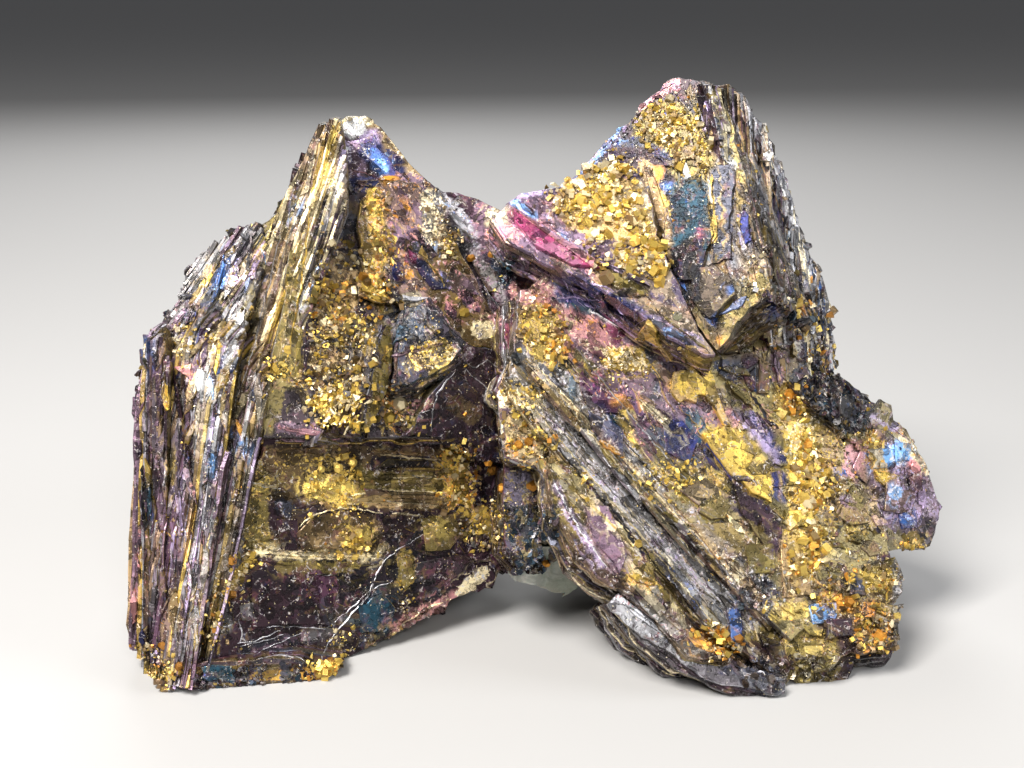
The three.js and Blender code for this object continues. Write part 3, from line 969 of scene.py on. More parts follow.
# %% Slivers
MARK_CELL = 0.9
LIFT_SCALE = 0.7
SLIVER_SWELL = ((0.12, 0.55), (0.35, 1.0), (0.8, 0.7))


def sliver(ends, width):
    """A long outline with pointed ends, widest a third of the way along."""
    (u0, v0), (u1, v1) = ends
    length = math.hypot(u1 - u0, v1 - v0)
    side_u, side_v = (v0 - v1) / length * width / 2, (u1 - u0) / length * width / 2
    there = [(u0 + (u1 - u0) * s + side_u * w, v0 + (v1 - v0) * s + side_v * w)
             for s, w in SLIVER_SWELL]
    back = [(u0 + (u1 - u0) * s - side_u * w, v0 + (v1 - v0) * s - side_v * w)
            for s, w in SLIVER_SWELL[::-1]]
    return [(u0, v0)] + there + [(u1, v1)] + back


def lay(heap, flakes, slivers):
    """A table of flakes as colour, lift and outline; of slivers as colour, lift, width, ends."""
    laid = []
    for colour, lift, outline in rows(flakes):
        laid.append(flake(heap, colour, outline, lift=lift * LIFT_SCALE, cell=MARK_CELL))
    for colour, lift, width, ends in rows(slivers):
        slant = math.degrees(math.atan2(ends[1][1] - ends[0][1], ends[1][0] - ends[0][0]))
        laid.append(flake(heap, colour, sliver(ends, width), lift=lift * LIFT_SCALE, cell=MARK_CELL,
                          hang=3.2, streaks=slant))
    print(heap.name, sum(laid), "laid of", len(laid))


# %% [markdown]
# On the left lobe the remnants are dark on the big face, brassy and pale along the crest, and
# long and narrow on the wall of plate edges.

# %% Flakes of the left lobe
left_marks = Heap("left_marked_flakes")
# The next white and sky slivers are a painted glint on the wall.
lay(left_marks, """
indigo .25 -17.2,18 -16.2,17.2 -16.2,14.6 -17.4,15.4
indigo .3 -14.3,18.6 -12.6,18.2 -9.4,14 -11.6,13.6 -14,16
silver .5 -16.2,13 -12,12.8 -12.4,12.1 -16,12.1
slate .7 -12.8,12.3 -10.4,10.4 -8.6,7 -10.4,6.4 -12.8,8.4
blue .35 -12.2,11.2 -10.7,10.8 -10.5,9 -11.6,9.2
teal .5 -16.8,8.8 -15.2,8.3 -14.9,7 -16.5,6.3 -17.3,5.7
brass .5 -12.5,9.4 -10.9,8.3 -12.1,8.1
plum .45 -38.4,-26.6 -31,-26.5 -30,-30 -27,-33 -26.8,-35.4 -38.2,-35.4
bronze .6 -31.8,-22 -30,-20 -27.6,-18.9 -24,-18.5 -20,-19.2 -20,-23.6 -26,-24.8 -31,-24.8
olive .4 -29.8,-22.4 -28,-21.4 -26.4,-22.4 -26.8,-24.6 -29.4,-24.8
aubergine .5 -29.8,-28 -26,-28.1 -25.3,-29.6 -26.4,-32.8 -28.6,-32.4
slate .3 -35.2,-17.2 -32.2,-16.8 -32.6,-19.4 -34.6,-19.4
plum .3 -34.2,-20 -31.8,-20.2 -31.8,-24.2 -33.6,-24.2
black .5 -43.6,-31.4 -41,-31.4 -40.8,-35.2 -43.4,-35.6
grey .5 -40.2,-32.6 -38,-32.2 -37.6,-34.6 -39.8,-35
black .3 -10.6,-22.8 -8.2,-22.2 -8.4,-25.4 -10.8,-25.6
teal .4 -22.6,-32.4 -19,-31 -17.6,-33 -18.4,-36.4 -22.4,-36.6
olive .4 -16.9,-25.4 -14.6,-25.4 -14.4,-28.6 -15.6,-30.4 -16.6,-29
olive .4 -13.6,-19.6 -8.4,-19.2 -7.4,-21.8 -9.4,-24.2 -12.8,-24
teal .4 -45.4,-41.4 -41.2,-41.6 -41.4,-43.4 -45,-43.2
rose .4 -49.6,2.4 -47,3.2 -47,.6
""", """
brass .5 .9 -26.2,38 -27.8,30.6
gold .5 .8 -27.4,37 -29.2,28
cream .4 .7 -28.4,36 -30.6,27
orange .3 1 -19.6,30 -15.2,30.2
slate .5 1.2 -23.4,29.6 -19.4,29.2
gold .4 .6 -13.8,20 -9.8,14.4
silver .6 1 -9.3,25.3 -6.2,21.8
silver .5 .5 -4.2,14.2 -.6,9.4
mauve .4 .9 -17.8,4 -9,6.3
gold .4 .5 -18.1,5.6 -18.7,3
rose .5 1.2 -34.4,-6.4 -24.3,-8.2
sky .4 .7 -27.8,18.6 -29.6,13.6
grey .5 .9 -28.4,17 -31,9
black .6 1.4 -29.6,11 -30.6,1.4
olive .6 1 -31.4,8.4 -31.6,.4
gold .5 .8 -33,14.6 -35,8
cream .4 .7 -38,-14.6 -34,-15.4
olive .4 .8 -22,-15.9 -9.8,-16.2
bronze .4 1.2 -24,-14.4 -10,-14.2
olive .4 .6 -23,-17 -10.4,-17.2
bronze .4 1 -20,-12.6 -9.6,-12.6
tan .5 .8 -51,6.6 -52,2
plum .6 .9 -49.7,2 -47,-13
gold .5 .7 -50.8,.2 -50.4,-4
lavender .6 .9 -49.3,-13.6 -48.2,-22.4
sky .4 1 -44,-10 -43.8,-14
orange .3 .9 -40.6,-5.2 -39,-9
teal .4 .8 -53.3,-14.6 -53,-20
black .4 1.2 -54.4,-12 -54,-20.4
tan .6 1.9 -49.4,-30.2 -50,-36.4
rose .5 1.2 -55.6,-29.8 -55.4,-35.4
indigo .4 1.2 -54.4,-36 -54.2,-38.8
silver .4 1.2 -48.8,-36 -49,-41
olive .4 1.1 -40.4,-14 -44.2,-34
grey .4 .9 -38.8,-12 -42.4,-28
blue .4 1 -42.2,18.8 -43.8,12.4
white .5 1.2 -45.8,2.2 -45.2,-2.6
sky .4 .9 -44.4,1.4 -43.8,-2.4
grey .4 1.2 -38.2,22.8 -39.2,14
""")

# %% [markdown]
# The right lobe's remnants have the strongest colours: a long magenta plate on the terrace, a
# dark one on the crest, olive plates with straight edges on the main face, and blue on the bump.

# %% Flakes of the right lobe
right_marks = Heap("right_marked_flakes")
TERRACE = (2, 42)
CREST = (-28, 22)
DARK_ON_CREST = places("23,26.5 26,29.6 27.6,30.2 28.8,27 29.6,21.6 28.8,18.4 27.4,14.4 25,14.6 23.2,18.4")
GREY_ON_CREST = places("27.5,16.8 30,17.4 32.6,15.5 33.2,13 31,10.5 29.3,9.8 27.3,12.2 26.3,13.5")
LONG_ON_TERRACE = places(".2,25.3 4,22.6 8.6,19.4 13,16.9 8.6,17.1 3.6,19.8 .2,23.6")
flake(right_marks, "black", DARK_ON_CREST, lift=1.0, face=CREST, cell=MARK_CELL, hang=9, hold=(0.35, 0.6))
flake(right_marks, "slate", GREY_ON_CREST, lift=1.2, face=CREST, cell=MARK_CELL, hang=9)
flake(right_marks, "magenta", LONG_ON_TERRACE, lift=0.8, face=TERRACE, cell=MARK_CELL, hang=9, streaks=-34)
flake(right_marks, "rose", sliver([(0.6, 25), (12.4, 17)], 0.8), lift=1.0, face=TERRACE,
      cell=MARK_CELL, hang=9, streaks=-34)
lay(right_marks, """
mauve .4 4,26.2 6.4,26 6.4,23.6 4.2,23.8
olive .9 27.6,13.6 30.6,13.2 31,10.9 29.3,9.9 27.6,12
blue .6 31.4,15.2 32.4,14.8 32.4,13.2 31.4,13.4
slate .7 29.4,31.6 32.4,32 32.4,18.4 29.6,18
slate .7 27,43 29.2,43 31,36 29.4,35.6
bronze .7 19.4,32 20.8,31.4 24.4,20 24.2,17.6 22.6,20
olive .6 20,38 23,38 23.2,36 20.4,35.8
bronze .6 24,35 27,35 27,33 24.4,33
slate .8 30,3.8 33.5,4.2 34,1 32,.3 30.2,1
aubergine .7 33,4.6 36,4.8 36,3 34,1.8
black .7 33.6,1.2 35.6,2.5 36,-1 35,-1.3
bronze .7 36,4 38.1,3 37.8,-1.5 36.2,-1.6
gold .5 18.3,7.5 20.1,9 21.2,7.9 23.6,3.6 23,3.4 21.3,5.8 19.5,6.8 18.7,6.2
gold 1 23.8,1.7 28.9,1.4 30,-1.5 31,-4 32,-6.5 31,-6.6 29.5,-3.5 27.9,-1.9 27,-1.9 26.9,-2.7 24.3,-2.6 \
    23.6,-1
gold 1 28.2,-7.4 30.8,-6.2 34,-7.1 35.4,-9 37.4,-12.6 38.3,-14.4 38,-17.5 35,-16 32,-13 29.8,-10.2
indigo .35 22,-6 25,-5.4 27.6,-8 26,-11.6 22.4,-10
indigo .35 11,-3.8 14,-4.8 16.4,-6.6 16.2,-10.8 13,-8.5 11.5,-6.5
aubergine .3 9.8,2.4 12,.5 15,-2 15.8,-4.4 13,-4.4 11,-3.4 9.8,-1
plum .5 32,-13 34,-16 36.5,-17 39.5,-20 39.5,-24 38.5,-26.5 36,-22.5 33.5,-19
olive .6 22,-16 27,-15.6 32,-20 27,-22
tan .7 26,-20.6 32,-20.6 35.4,-25.4 30,-26
olive .8 34,-24 38,-24 38.4,-28 34.6,-28
tan .5 39,-22 43,-22 44,-31 40,-31.6
mauve .6 10.4,-18 14,-18 17,-25 16,-28 12,-24
slate .6 31.4,-33 33.6,-33 34.2,-38 32,-38
sky .4 43.4,-32.6 47.4,-32.4 47.4,-35 44,-35.6
slate .5 49.4,-28 52,-28 52,-31 49.6,-31
bronze .5 46.4,-28.4 48.2,-28.4 48.2,-30.6 46.6,-30.6
plum .6 46,-34.6 50,-34.4 50,-37.2 46.4,-37.6
sky .5 52,-9.6 55.6,-9.4 55.8,-12.4 52.4,-12.6
sky .5 56,-8.6 58.4,-8.6 58.6,-11.4 56.2,-11.6
gold .6 53,-12.6 56.8,-13.4 56.8,-15 54.4,-15
white .5 55.2,-15 58,-15 58.2,-17.4 55.4,-17.6
blue .5 57,-19 59,-19 59,-21 57.2,-21
""", """
plum .6 .9 .8,26.6 3.6,24.8
lavender .7 .9 12.6,17.9 20.2,14.4
black 1 1.8 25,27.6 26,18.8
blue .6 1 23.6,17.6 25.8,13.6
gold .9 .4 29.4,30.4 30,20.6
indigo .6 1.6 34,26 34.6,20
lavender .6 .8 28.6,41.6 28.8,37.6
silver .5 .5 30.2,34.2 32.8,31.4
indigo .7 1.1 21,33.6 24.4,32
blue .5 .6 29.4,9.4 34.4,12.6
mauve .8 1.1 38.4,5 39.4,-.8
blue .7 .4 34.7,.5 35.7,-1.2
cream .5 .8 18.4,-2.3 25.3,-8.1
black .4 .5 21.4,-3.7 23.4,-5.1
black .4 .4 22.4,-5.4 24.6,-7.2
olive .6 1.1 31.6,.2 35.2,-3.3
mauve .4 .7 33.4,-4 40,-12
indigo .4 .8 35.8,-4.2 40.2,-10
indigo .4 .9 28.2,-8.2 32.4,-14.2
plum .5 .8 40,-27.2 40.4,-31.2
teal .5 1.4 8.8,1.2 8.9,-3
teal .3 .6 14.4,-4.6 16.4,-6.6
orange .5 1.1 12.8,-8.2 15.8,-10.6
white .5 .45 11.2,10.8 17.6,7.2
olive .5 .8 21,10.9 29,4.6
olive .8 2.4 12.6,16.4 20.8,12.4
slate .5 1.3 20,9.6 26.6,5.8
gold .6 .8 9.4,-15.8 18,-24
gold .5 1.2 17,-28 21.2,-29.4
cream .4 .4 30,-18.4 34.2,-22.2
cream .4 .4 27,-23.4 33.4,-26.2
olive .5 .8 22,-19 30.4,-23.2
tan .5 .9 2,2.4 10,-6.8
silver .5 .8 9,-5 19,-17.4
olive .5 .9 16,-13 27,-26
grey .5 1.1 22,-21.4 34,-34
tan .5 .8 28,-25.4 38,-36
silver .5 1.2 16,-32 25,-38.6
rose .4 1.4 59,-11 59.4,-14.4
lavender .4 1.5 60,-14.6 60.4,-18.4
""")

# %% [markdown]
# Plates on the lower face broke in parallel steps that run nearly level. Each step's edge is a
# raised cream line, and its pale colour is partly a painted highlight along the edge. Elsewhere
# fine white lines branch over the dark faces where a plate creased, thirteen lines run side by
# side down the right lobe, and black rods along the cracks between plates are painted shadow.

# %% Ridges and cracks
ridges = Heap("ridges")
# The cream and tan step edges are raised lines; their pale colour is partly a painted highlight.
BOLD_LINES = """
cream -37.2,-9.2 -32,-9.1 -30.6,-10 -26,-10.4 -22,-10.6
tan -37,-9.8 -33,-9.6 -28,-9.4
tan -21,-9.9 -17,-9.9 -12,-10.4 -9.6,-11.6
cream -19.4,-10.4 -14,-10.9 -10.4,-11.2
tan -17.6,-12.6 -10,-12.7
cream -21,-14.6 -19,-13.8 -13,-13.6 -10,-13.9
cream -24.4,-16.6 -21,-15.9 -16,-15.8 -9.6,-16
tan -24,-17.2 -20,-16.6 -15,-16.7 -10,-16.9
cream -25,-17.9 -20,-17.3 -14,-17.5 -10.8,-17.8
tan -20,-18.1 -14,-18.3 -11.4,-18.8
cream -17.6,-19 -13,-19.4
cream -32,-22 -31,-20.6 -29.4,-19.6 -27.5,-18.7 -24,-18.2 -19,-19
cream -38.4,-24.8 -35,-24.9 -30,-25.2 -24,-25.3 -20,-25.1 -18.8,-23.8
cream -34.6,-25.4 -29,-25.7 -22,-25.6
white -38.1,-14.6 -36,-15 -34,-15.4
rose -17,-36.2 -14,-34.2 -10,-32.4 -8,-31.6 -5,-29.6 -3,-27.6
cream -16.6,-35.4 -13,-33.3 -9,-31.6
"""
for colour, route in rows(BOLD_LINES):
    ridge(ridges, colour, route, width=rng.uniform(0.34, 0.62), height=rng.uniform(0.2, 0.4))
# The next silver line is a painted highlight along the lit edge of a crack.
# These pale lines on the crest's right flank are partly painted light: they brighten plate edges that the
# lamps leave half in shade.
FINE_LINES = """
silver -38.5,-35.5 -33,-35.6 -27.5,-36.1 -26,-35
silver -26.5,-35.2 -24,-33.2 -21.5,-30.8 -17.5,-28.8
silver -28,-40.5 -27,-38 -25,-35.5 -21,-31 -20,-28 -18.8,-25.8 -16,-23.8 -13,-22
silver -40.3,-38.2 -37,-37.5 -34,-36.3
silver -40,-38.5 -36,-37.6 -33.6,-36.8
silver -38,-39.8 -35,-38.3 -31,-36.6
silver -37.3,-40.3 -34.5,-39.8 -31,-40.3 -30,-41.2
silver -40.2,-34.6 -39.6,-36.4 -40,-38
white -43.4,-35.4 -42,-35.7 -40.8,-35.1
grey -30,-28 -26,-28 -25.4,-29.4 -26,-32
silver -30.2,-26.6 -29,-28 -29.9,-30
silver -8,2.1 -9.5,.6 -11,-1.5 -11.7,-4 -11.9,-7
silver -7.2,2.4 -5,.6 -2.6,-1.8
white -16,-6.2 -14.6,-4.7 -12,-3.8
grey -7.6,5.6 -6.8,3.2 -5.2,2.4 -3.6,3.6 -1.8,2
grey -17.9,9.6 -15.8,11.7 -12.6,12.5 -10,10
silver -18.3,9 -20.6,4.8 -21.6,1.4 -22.2,-2.6 -23.2,-6.8
rose -24,31.5 -21.6,31 -19.5,30.2
silver -27.8,21.4 -25.4,23 -22.8,25.6 -21.8,27.6
silver -28.6,20.4 -26,21.4 -23.4,24.6
cream -32.4,26 -34,15 -37,4 -39.6,-4
cream -30.8,24 -32.6,12 -35,0 -37,-5
silver -33.6,24 -35.6,15 -38,5 -40.4,-2
gold -29.6,26 -31,14 -33.4,2
silver -47.8,16.4 -50,9 -52,4
sky -39.2,18.4 -38.6,16.4
sky -36.8,20 -36.2,17.6
lavender 7.4,15.4 8.4,14 8.2,12
lavender 9.4,15.8 8.8,14.2 9.6,12 11,11
lavender 11.2,15.4 10.8,13 11.6,11.4
rose 14.4,14 13.4,12.2 12.2,11.8
lavender 13,13.8 12,12.4
lavender 16.8,12.8 15.6,11 17,9.4 17.4,7.6
lavender 20,9.6 18.6,8.8 17.4,7.6
lavender 19.4,11.6 18,10.6 17.8,9
silver .5,4.5 4,1.8 8,-3 18,-14 28,-25 38,-35.5
silver 2,2.2 9,-6 19,-17 30,-28.4
cream 3,3.6 9.4,-3.6 20,-15 31,-26.4
silver 5,-3.6 12,-12 22,-23.6 32,-34
white 6,-14 9,-20 14,-27
cream 24.4,-5.2 25.6,-6.4 27.6,-9.2
rose 21,-6 24,-7.4 27,-7.2 28,-6
silver 15,-33 18,-37 21,-40 25,-42 33,-45
silver 14.6,-31 20,-35.4 26,-40
lavender 53,-4.6 56,-6.6 59,-8.6
silver 52.6,-5.4 56,-7.6 60,-11
grey 30.6,43.6 33.2,37 36.4,28 40,18
tan 32.6,43 35.6,35 39,27 42,17
silver 35,40 38.4,31 42.4,20
white 34,42 37,36 40,28 43,18
white 36.6,37 40,28 43.8,16
silver 39.4,32 42,24 44.8,12
white 41.6,27 44,18 46.4,8
lavender 6.4,12.4 9,12.8 12,12.2 14.6,12.6
lavender 10,14.8 13.6,14.4 15.8,13
tan 21,1.6 22.4,-1.6 24,-4.4
tan 10.4,2.6 13,.6 15.4,-2
tan 17.6,-.6 19.4,-3.6 21,-7
tan 24,-2.8 27,-6 29,-9.6 31.6,-13.6
cream 33,-6.6 36,-9.4 38.4,-13
lavender 8.3,29.8 12.5,34.5 16,39.5 24,44.3
sky 9.4,30.6 13.6,35.2 17.4,39.6
silver 38,6.6 40,8.4 42,9.2
silver 38,5.6 41,5.8 44,4
"""
for colour, route in rows(FINE_LINES):
    ridge(ridges, colour, route, width=rng.uniform(0.18, 0.36), height=rng.uniform(0.08, 0.2))
PARALLEL_LINE = places("4,2 12,-8 24,-22 33,-33")
for step in range(13):
    shift = step * 0.85 - 5
    ridge(ridges, ("silver", "black", "cream", "grey")[step % 4],
          [(u + shift, v + shift * 0.7) for u, v in PARALLEL_LINE],
          width=rng.uniform(0.25, 0.5), height=rng.uniform(0.15, 0.35))
# Black rods that lie along the cracks between plates: painted shadow in the gaps.
CRACK_SHADOWS = """
-3,-16.3 -7,-17.8 -10,-19.5 -14,-22 -18.8,-25.8 -21,-30 -24,-33 -27,-35
-2.2,16 -1.2,8 -1,-2 -1.4,-14 -2,-26
10,-13 15,-18 19,-25 23,-29 25,-34 29,-39.5 31.5,-40.5
10.8,-14.6 15.8,-19.6 19.6,-26
35,2 35.2,-2 40,-8 43.4,-14
34,10 39,10 43,11
33.2,41.6 36.6,34 40,25 42.6,13
35.2,40.6 38.6,33 42,23 44.4,12
37.6,36 41,27 44.2,16
17,15.3 20,13 23,11.7 26,10 29.4,9.4 32,10.8 34.6,13.4
-9.6,8 -8.6,6.8 -7.8,5.4 -8.2,3
"""
for (route,) in rows(CRACK_SHADOWS):
    ridge(ridges, "black", route, width=0.7, height=0.1, wander=0.4, hold=1.0)
print("ridges", ridges.triangles(), "triangles")
skin = skin_of(heaps)

# %% [markdown]
# Pyrite fills the hollows between the books. The brightest crust hangs under the crest of the
# right lobe, another runs down the right flank, and duller grains follow the left pyramid. The
# big crust has crystals up to a couple of millimetres; the film of grains on the dark faces is
# finer than sugar. Each line has the shades, how many grains, the least and greatest size, how
# high they pile, and the outline.

# %% Pyrite crusts
pyrite_right = Heap("right_pyrite_grains", "pyrite")
pyrite_left = Heap("left_pyrite_grains", "pyrite")
RIGHT_CRUSTS = """
bright 1300 .4 1.9 .7 6.2,28.5 10,30.5 14.7,33.5 18,31 20,26 20,23 22,20.5 23.5,15 15,17.5 12.5,17.7 \
    11,20 13,23 9.5,23.5 6.2,26
bright 560 .35 1.5 .4 18,38 21.5,41 25.5,43 28.5,35 28.5,31.5 24,32 21,35
bright+warm 700 .4 1.9 .5 40,-1 42,-1 46,-14 46,-20 45,-28 41,-28 42,-18 40,-6
dull 330 .35 1.1 .2 44,-7 49,-8 50,-20 47,-24 44.5,-20
warm 230 .5 1.6 .5 1.5,11 5,11.5 8,9 8.4,3.6 5,3 1.5,6
cream+brass+gold 90 .4 1.2 .3 -2,-.6 4,0 5,-3 -1,-4.4
warm+olive+bronze 170 .4 1.3 .4 -1,-5 5,-5 6,-11 2,-13 -1,-11
cream+gold+olive 120 .3 .9 .15 13,5 20,4 21,.4 14,0
gold+brass+olive 190 .3 1.1 .2 18,-12 28,-12 31,-17 20,-16
warm 120 .4 1.5 .3 44,-29 51,-27.4 50,-33 45,-33 36.5,-35 37,-32
warm 150 .4 1.5 .4 50,-32 56,-32 56,-39.4 50,-39.4
orange+gold+cream 90 .5 1.6 .4 26,-36 31.8,-36 33,-39.6 29,-40
warm 50 .4 1.3 .3 51,-27 57,-27 57,-30.5 51.4,-30.5
warm 46 .4 1.2 .3 51.8,-6.4 54.2,-6.4 54.2,-9.2 52,-9.2
warm 46 .4 1.1 .3 57.6,-21.6 61,-21.6 60,-24.2 57.8,-24.2
gold+brass 14 .6 1.4 .3 9,-13.6 11,-14 11,-16 9.2,-15.6
cream+tan+silver 90 .3 .9 .2 34,19 38,19 38,14 34,14
cream+silver 40 .3 .8 .2 37,-28 40,-28 40,-31 37,-31
"""
LEFT_CRUSTS = """
warm+brass 330 .4 1.6 .4 -28.6,15.5 -24,15 -23.6,9 -29,9
dull 190 .4 1.3 .3 -28,20 -22.4,20 -22.6,15 -28,15
dull+gold+cream 640 .4 1.5 .35 -29.8,9 -20.6,9 -20.4,-1 -30,-1
cream+brass+gold 300 .5 1.7 .4 -28.6,-1 -22,-1 -22.6,-6.2 -29,-6
warm 280 .35 1.3 .25 -21.4,27 -18.6,27.6 -17,18 -18,10 -21.4,10
warm 290 .4 1.4 .3 -10.4,-9.4 -5.4,-9 -4.6,-14 -6,-19 -10,-18.6
dull+gold 230 .4 1.3 .3 -7.4,-18 -1.4,-17 -1,-24 -6.8,-24
warm 200 .35 1.2 .3 -39,-24 -36.6,-25 -40,-29 -41.6,-32 -43.4,-38.6 -45.8,-39 -45,-34 -42.6,-29
gold+brass 70 .4 1.4 .2 -29,-11.6 -22.6,-11 -23,-13.6 -29,-13.6
gold+tan+brass 170 .3 1 .1 -30,-14 -22,-14 -22.6,-19 -30,-19
gold+brass+tan 110 .4 1.5 .4 -25,-21 -21,-21 -21,-25 -25,-25
brass+gold 60 .4 1.3 .3 -36.4,4 -33,4 -33,0 -36.4,0
warm 24 .4 1.2 .2 -55,-38.4 -53,-38.4 -53,-40.2 -55,-40.2
warm 100 .4 1.3 .3 -53.6,-41 -50,-41 -50,-45 -53.4,-45
orange+gold+brass 110 .5 1.7 .4 -29.6,-41 -24.6,-40.8 -25,-44 -29.4,-44.4
dull 120 .4 1.2 .3 -20,-1 -14,0 -14,-7 -19,-7
gold+olive 60 .3 .9 .2 -14.6,8 -9,8 -9,2 -14,2
grey+cream+tan 110 .35 1 .2 -12.6,27.4 -9.6,27 -9.2,20 -11,20
warm 40 .4 1.2 .2 -10.6,22.4 -8.6,22 -8.4,18.6 -10,19
cream+brass 40 .3 .9 .2 -26.6,-36.4 -24,-36.4 -24,-39 -26.4,-39
cream+gold 30 .3 .8 .2 -16.4,-29.6 -15,-29.6 -15,-34 -16.4,-34
warm 16 .3 .9 .2 -52,-20 -49.6,-20 -49.6,-22 -52,-22
cream+gold 70 .3 1 .2 -50,8 -47,8 -47,3 -49.6,3
cream+gold 24 .3 .9 .2 -43.6,10 -43,10 -43,6 -44,6
"""
for heap, table in ((pyrite_right, RIGHT_CRUSTS), (pyrite_left, LEFT_CRUSTS)):
    for mix, count, least, most, pile, outline in rows(table):
        crust(heap, outline, int(count), (least, most), shades(mix), pile=pile)
WHOLE_FRONT = places("-54,0 -44,18 -24,36 -6,22 14,34 26,42 42,16 58,-14 56,-38 38,-40 14,-28 -2,-20 "
                     "-14,-33 -42,-40 -54,-40")
crust(pyrite_left, WHOLE_FRONT, 700, (0.2, 0.75), shades("warm"), pile=0.05)
print("pyrite", pyrite_left.triangles(), pyrite_right.triangles(), "triangles")

# %% [markdown]
# A few larger crystals stand alone, most of them rusty. They are whole, so they are set as
# twelve-sided shapes, each with its colour, size and place.

# %% Single crystals
SINGLE_CRYSTALS = """
cream 2.4 43.5,-17.5
gold 2 42.2,-12
orange 1.8 43.3,-9
gold 2.2 41.5,-20
orange 1.8 44.5,-23
orange 2 41,-1.5
orange 1.8 41,-4
gold 1.3 18.5,-23.5
gold 1.3 41,-25
orange 1.6 1,-9
orange 1.5 2.5,-8.5
orange 1.7 -2.8,-12.5
orange 1.7 3,-15
orange 1.4 5,-26.3
orange 1.5 -3.5,-11.5
orange 1.4 -3,-12.7
orange 1.5 -1.5,-15.3
gold 1.8 -7,10.5
brass 1.5 -25.6,-12.3
brass 1.4 -28,-12.5
brass 1.3 -23.5,-11.5
cream 2 -16.5,-3
gold 1.8 -18,-5
orange 1.2 -3,19
orange 1.3 -6,18.5
orange 1.4 -49,-41.5
orange 1.3 -51.3,-38.5
cream 2.2 12,22
brass 2.3 15,26
brass 2.1 18,21
brass 2 10,27
orange 1.8 49.5,-32
orange 1.9 54,-37
orange 1.7 30,-38
"""
for colour, size, [(u, v)] in rows(SINGLE_CRYSTALS):
    place, _ = surface(FRONT, u, v)
    grain(pyrite_right, PYRITOHEDRON, place, size, colour)

# %% [markdown]
# Between the books the plates were crushed to a dark rubble of small blades. It shows at the
# shoulder of the right lobe, in the valley below its crest, and along the bottom edges. Its lines
# are like those of the crusts, without the pile.

# %% Rubble of dark blades
rubble = Heap("dark_blades")
RUBBLE = """
dark 330 .56 1.32 43,0 47,2 49,-1 52,-3 52,-9 47,-7 44,-3
dark+cream 110 .49 1.2 36,14 43,14 43,8.6 37,8.6
silver+grey+slate 170 .42 .96 43.4,14 46.4,12 48,1 44,0
dark 130 .49 1.2 32,-28.5 38,-28.5 38,-33 33,-33
black+grey+olive 150 .56 1.32 41,-40 48,-40 47.6,-44.6 41,-43
grey+bronze+slate 70 .56 1.44 33,-40 40,-40 39.4,-45.6 34,-44.4
slate+grey+olive+teal 170 .7 1.8 -1,-18 7,-18 6,-27 0,-28
dark 90 .49 1.14 -34,-41 -29,-41 -29,-45.4 -33.6,-45.4
olive+grey+slate+bronze 200 .49 1.32 -22,-36.6 -9,-31.6 -9,-34 -14,-39 -21,-41.6
dark 70 .42 .96 -2,20 2,19 2,14 -2,14
dark+silver 120 .42 1.08 -47,-43 -36,-41 -36,-44 -46,-45
olive+grey+tan 80 .42 1.08 56,-26 58,-30 58,-38 56,-39
lavender+mauve+slate+silver 110 .35 .9 12.4,35 16,39 22,43 25,44 20,40 15,35
tan+rose+cream+mauve 120 .28 .72 0,15 5,15.4 5,11 0,11
"""
for mix, count, least, most, outline in rows(RUBBLE):
    matrix(rubble, outline, int(count), (least, most), shades(mix), splay=0.4)
print("rubble", rubble.triangles(), "triangles")

# %% [markdown]
# The back, the left end and the right end show only a little or nothing from the front. They are
# finished the same way from their own elevations: steps on every face, bands of pyrite in the
# hollows, and rubble where books meet. Each side has how many steps it gets and the largest.

# %% Sides and back
side_flakes = Heap("side_and_back_flakes")
side_pyrite = Heap("side_and_back_grains", "pyrite")
SIDES = """
back 420 7 -56,-46 -50,0 -30,34 -6,10 12,26 40,30 50,-4 54,-46
left 210 4.5 -26,-40 -24,6 0,34 24,20 34,-6 30,-40
right 240 4.5 -34,-40 -32,0 -14,30 6,36 22,12 24,-40
"""
for side, count, largest, outline in rows(SIDES):
    elevation = SIDE_ELEVATIONS[side]
    scattered_flakes(side_flakes, outline, int(count), (0.8, largest), shades("steps+slate+mauve"),
                     slant=70, stretch=2.4, elevation=elevation, hold=(0.3, 0.6), lifts=(0.1, 0.6))
    for _ in range(16):
        u, v = spot_in(outline)
        end = (u + rng.uniform(-3, 3), v - rng.uniform(3, 10))
        ridge(side_flakes, rng.choice(("silver", "cream", "gold", "black")), [(u, v), end],
              width=0.4, elevation=elevation)
    crust(side_pyrite, outline, 260, (0.3, 1.1), shades("warm"), elevation=elevation)
    matrix(side_flakes, outline, 160, (0.7, 2.4), shades("dark"), elevation=elevation)
HOLLOWS = """
back warm 420 -12,-20 -2,4 4,6 6,-26
back bright 260 14,18 22,20 26,-6 20,-14
back warm 240 -40,8 -34,14 -28,-10 -34,-18
back dull 160 34,-14 44,-16 42,-28 34,-26
left warm 240 2,16 10,14 12,-12 4,-10
left dull 160 14,-8 24,-8 20,-28 12,-26
right warm 280 -16,4 -8,8 -4,-20 -14,-22
right bright 180 2,20 8,18 12,-6 4,-4
"""
for side, mix, count, outline in rows(HOLLOWS):
    crust(side_pyrite, outline, int(count), (0.4, 1.7), shades(mix),
          elevation=SIDE_ELEVATIONS[side], pile=0.5)
LOW_ON_BACK = places("-46,-45 -46,-10 44,-10 44,-45")
scattered_flakes(side_flakes, LOW_ON_BACK, 130, (4, 13), shades("steps+slate"), slant=60, stretch=1.5,
                 elevation=BACK, hold=(0.4, 0.6), lifts=(0.4, 1.6))
print("sides and back", side_flakes.triangles(), side_pyrite.triangles(), "triangles")

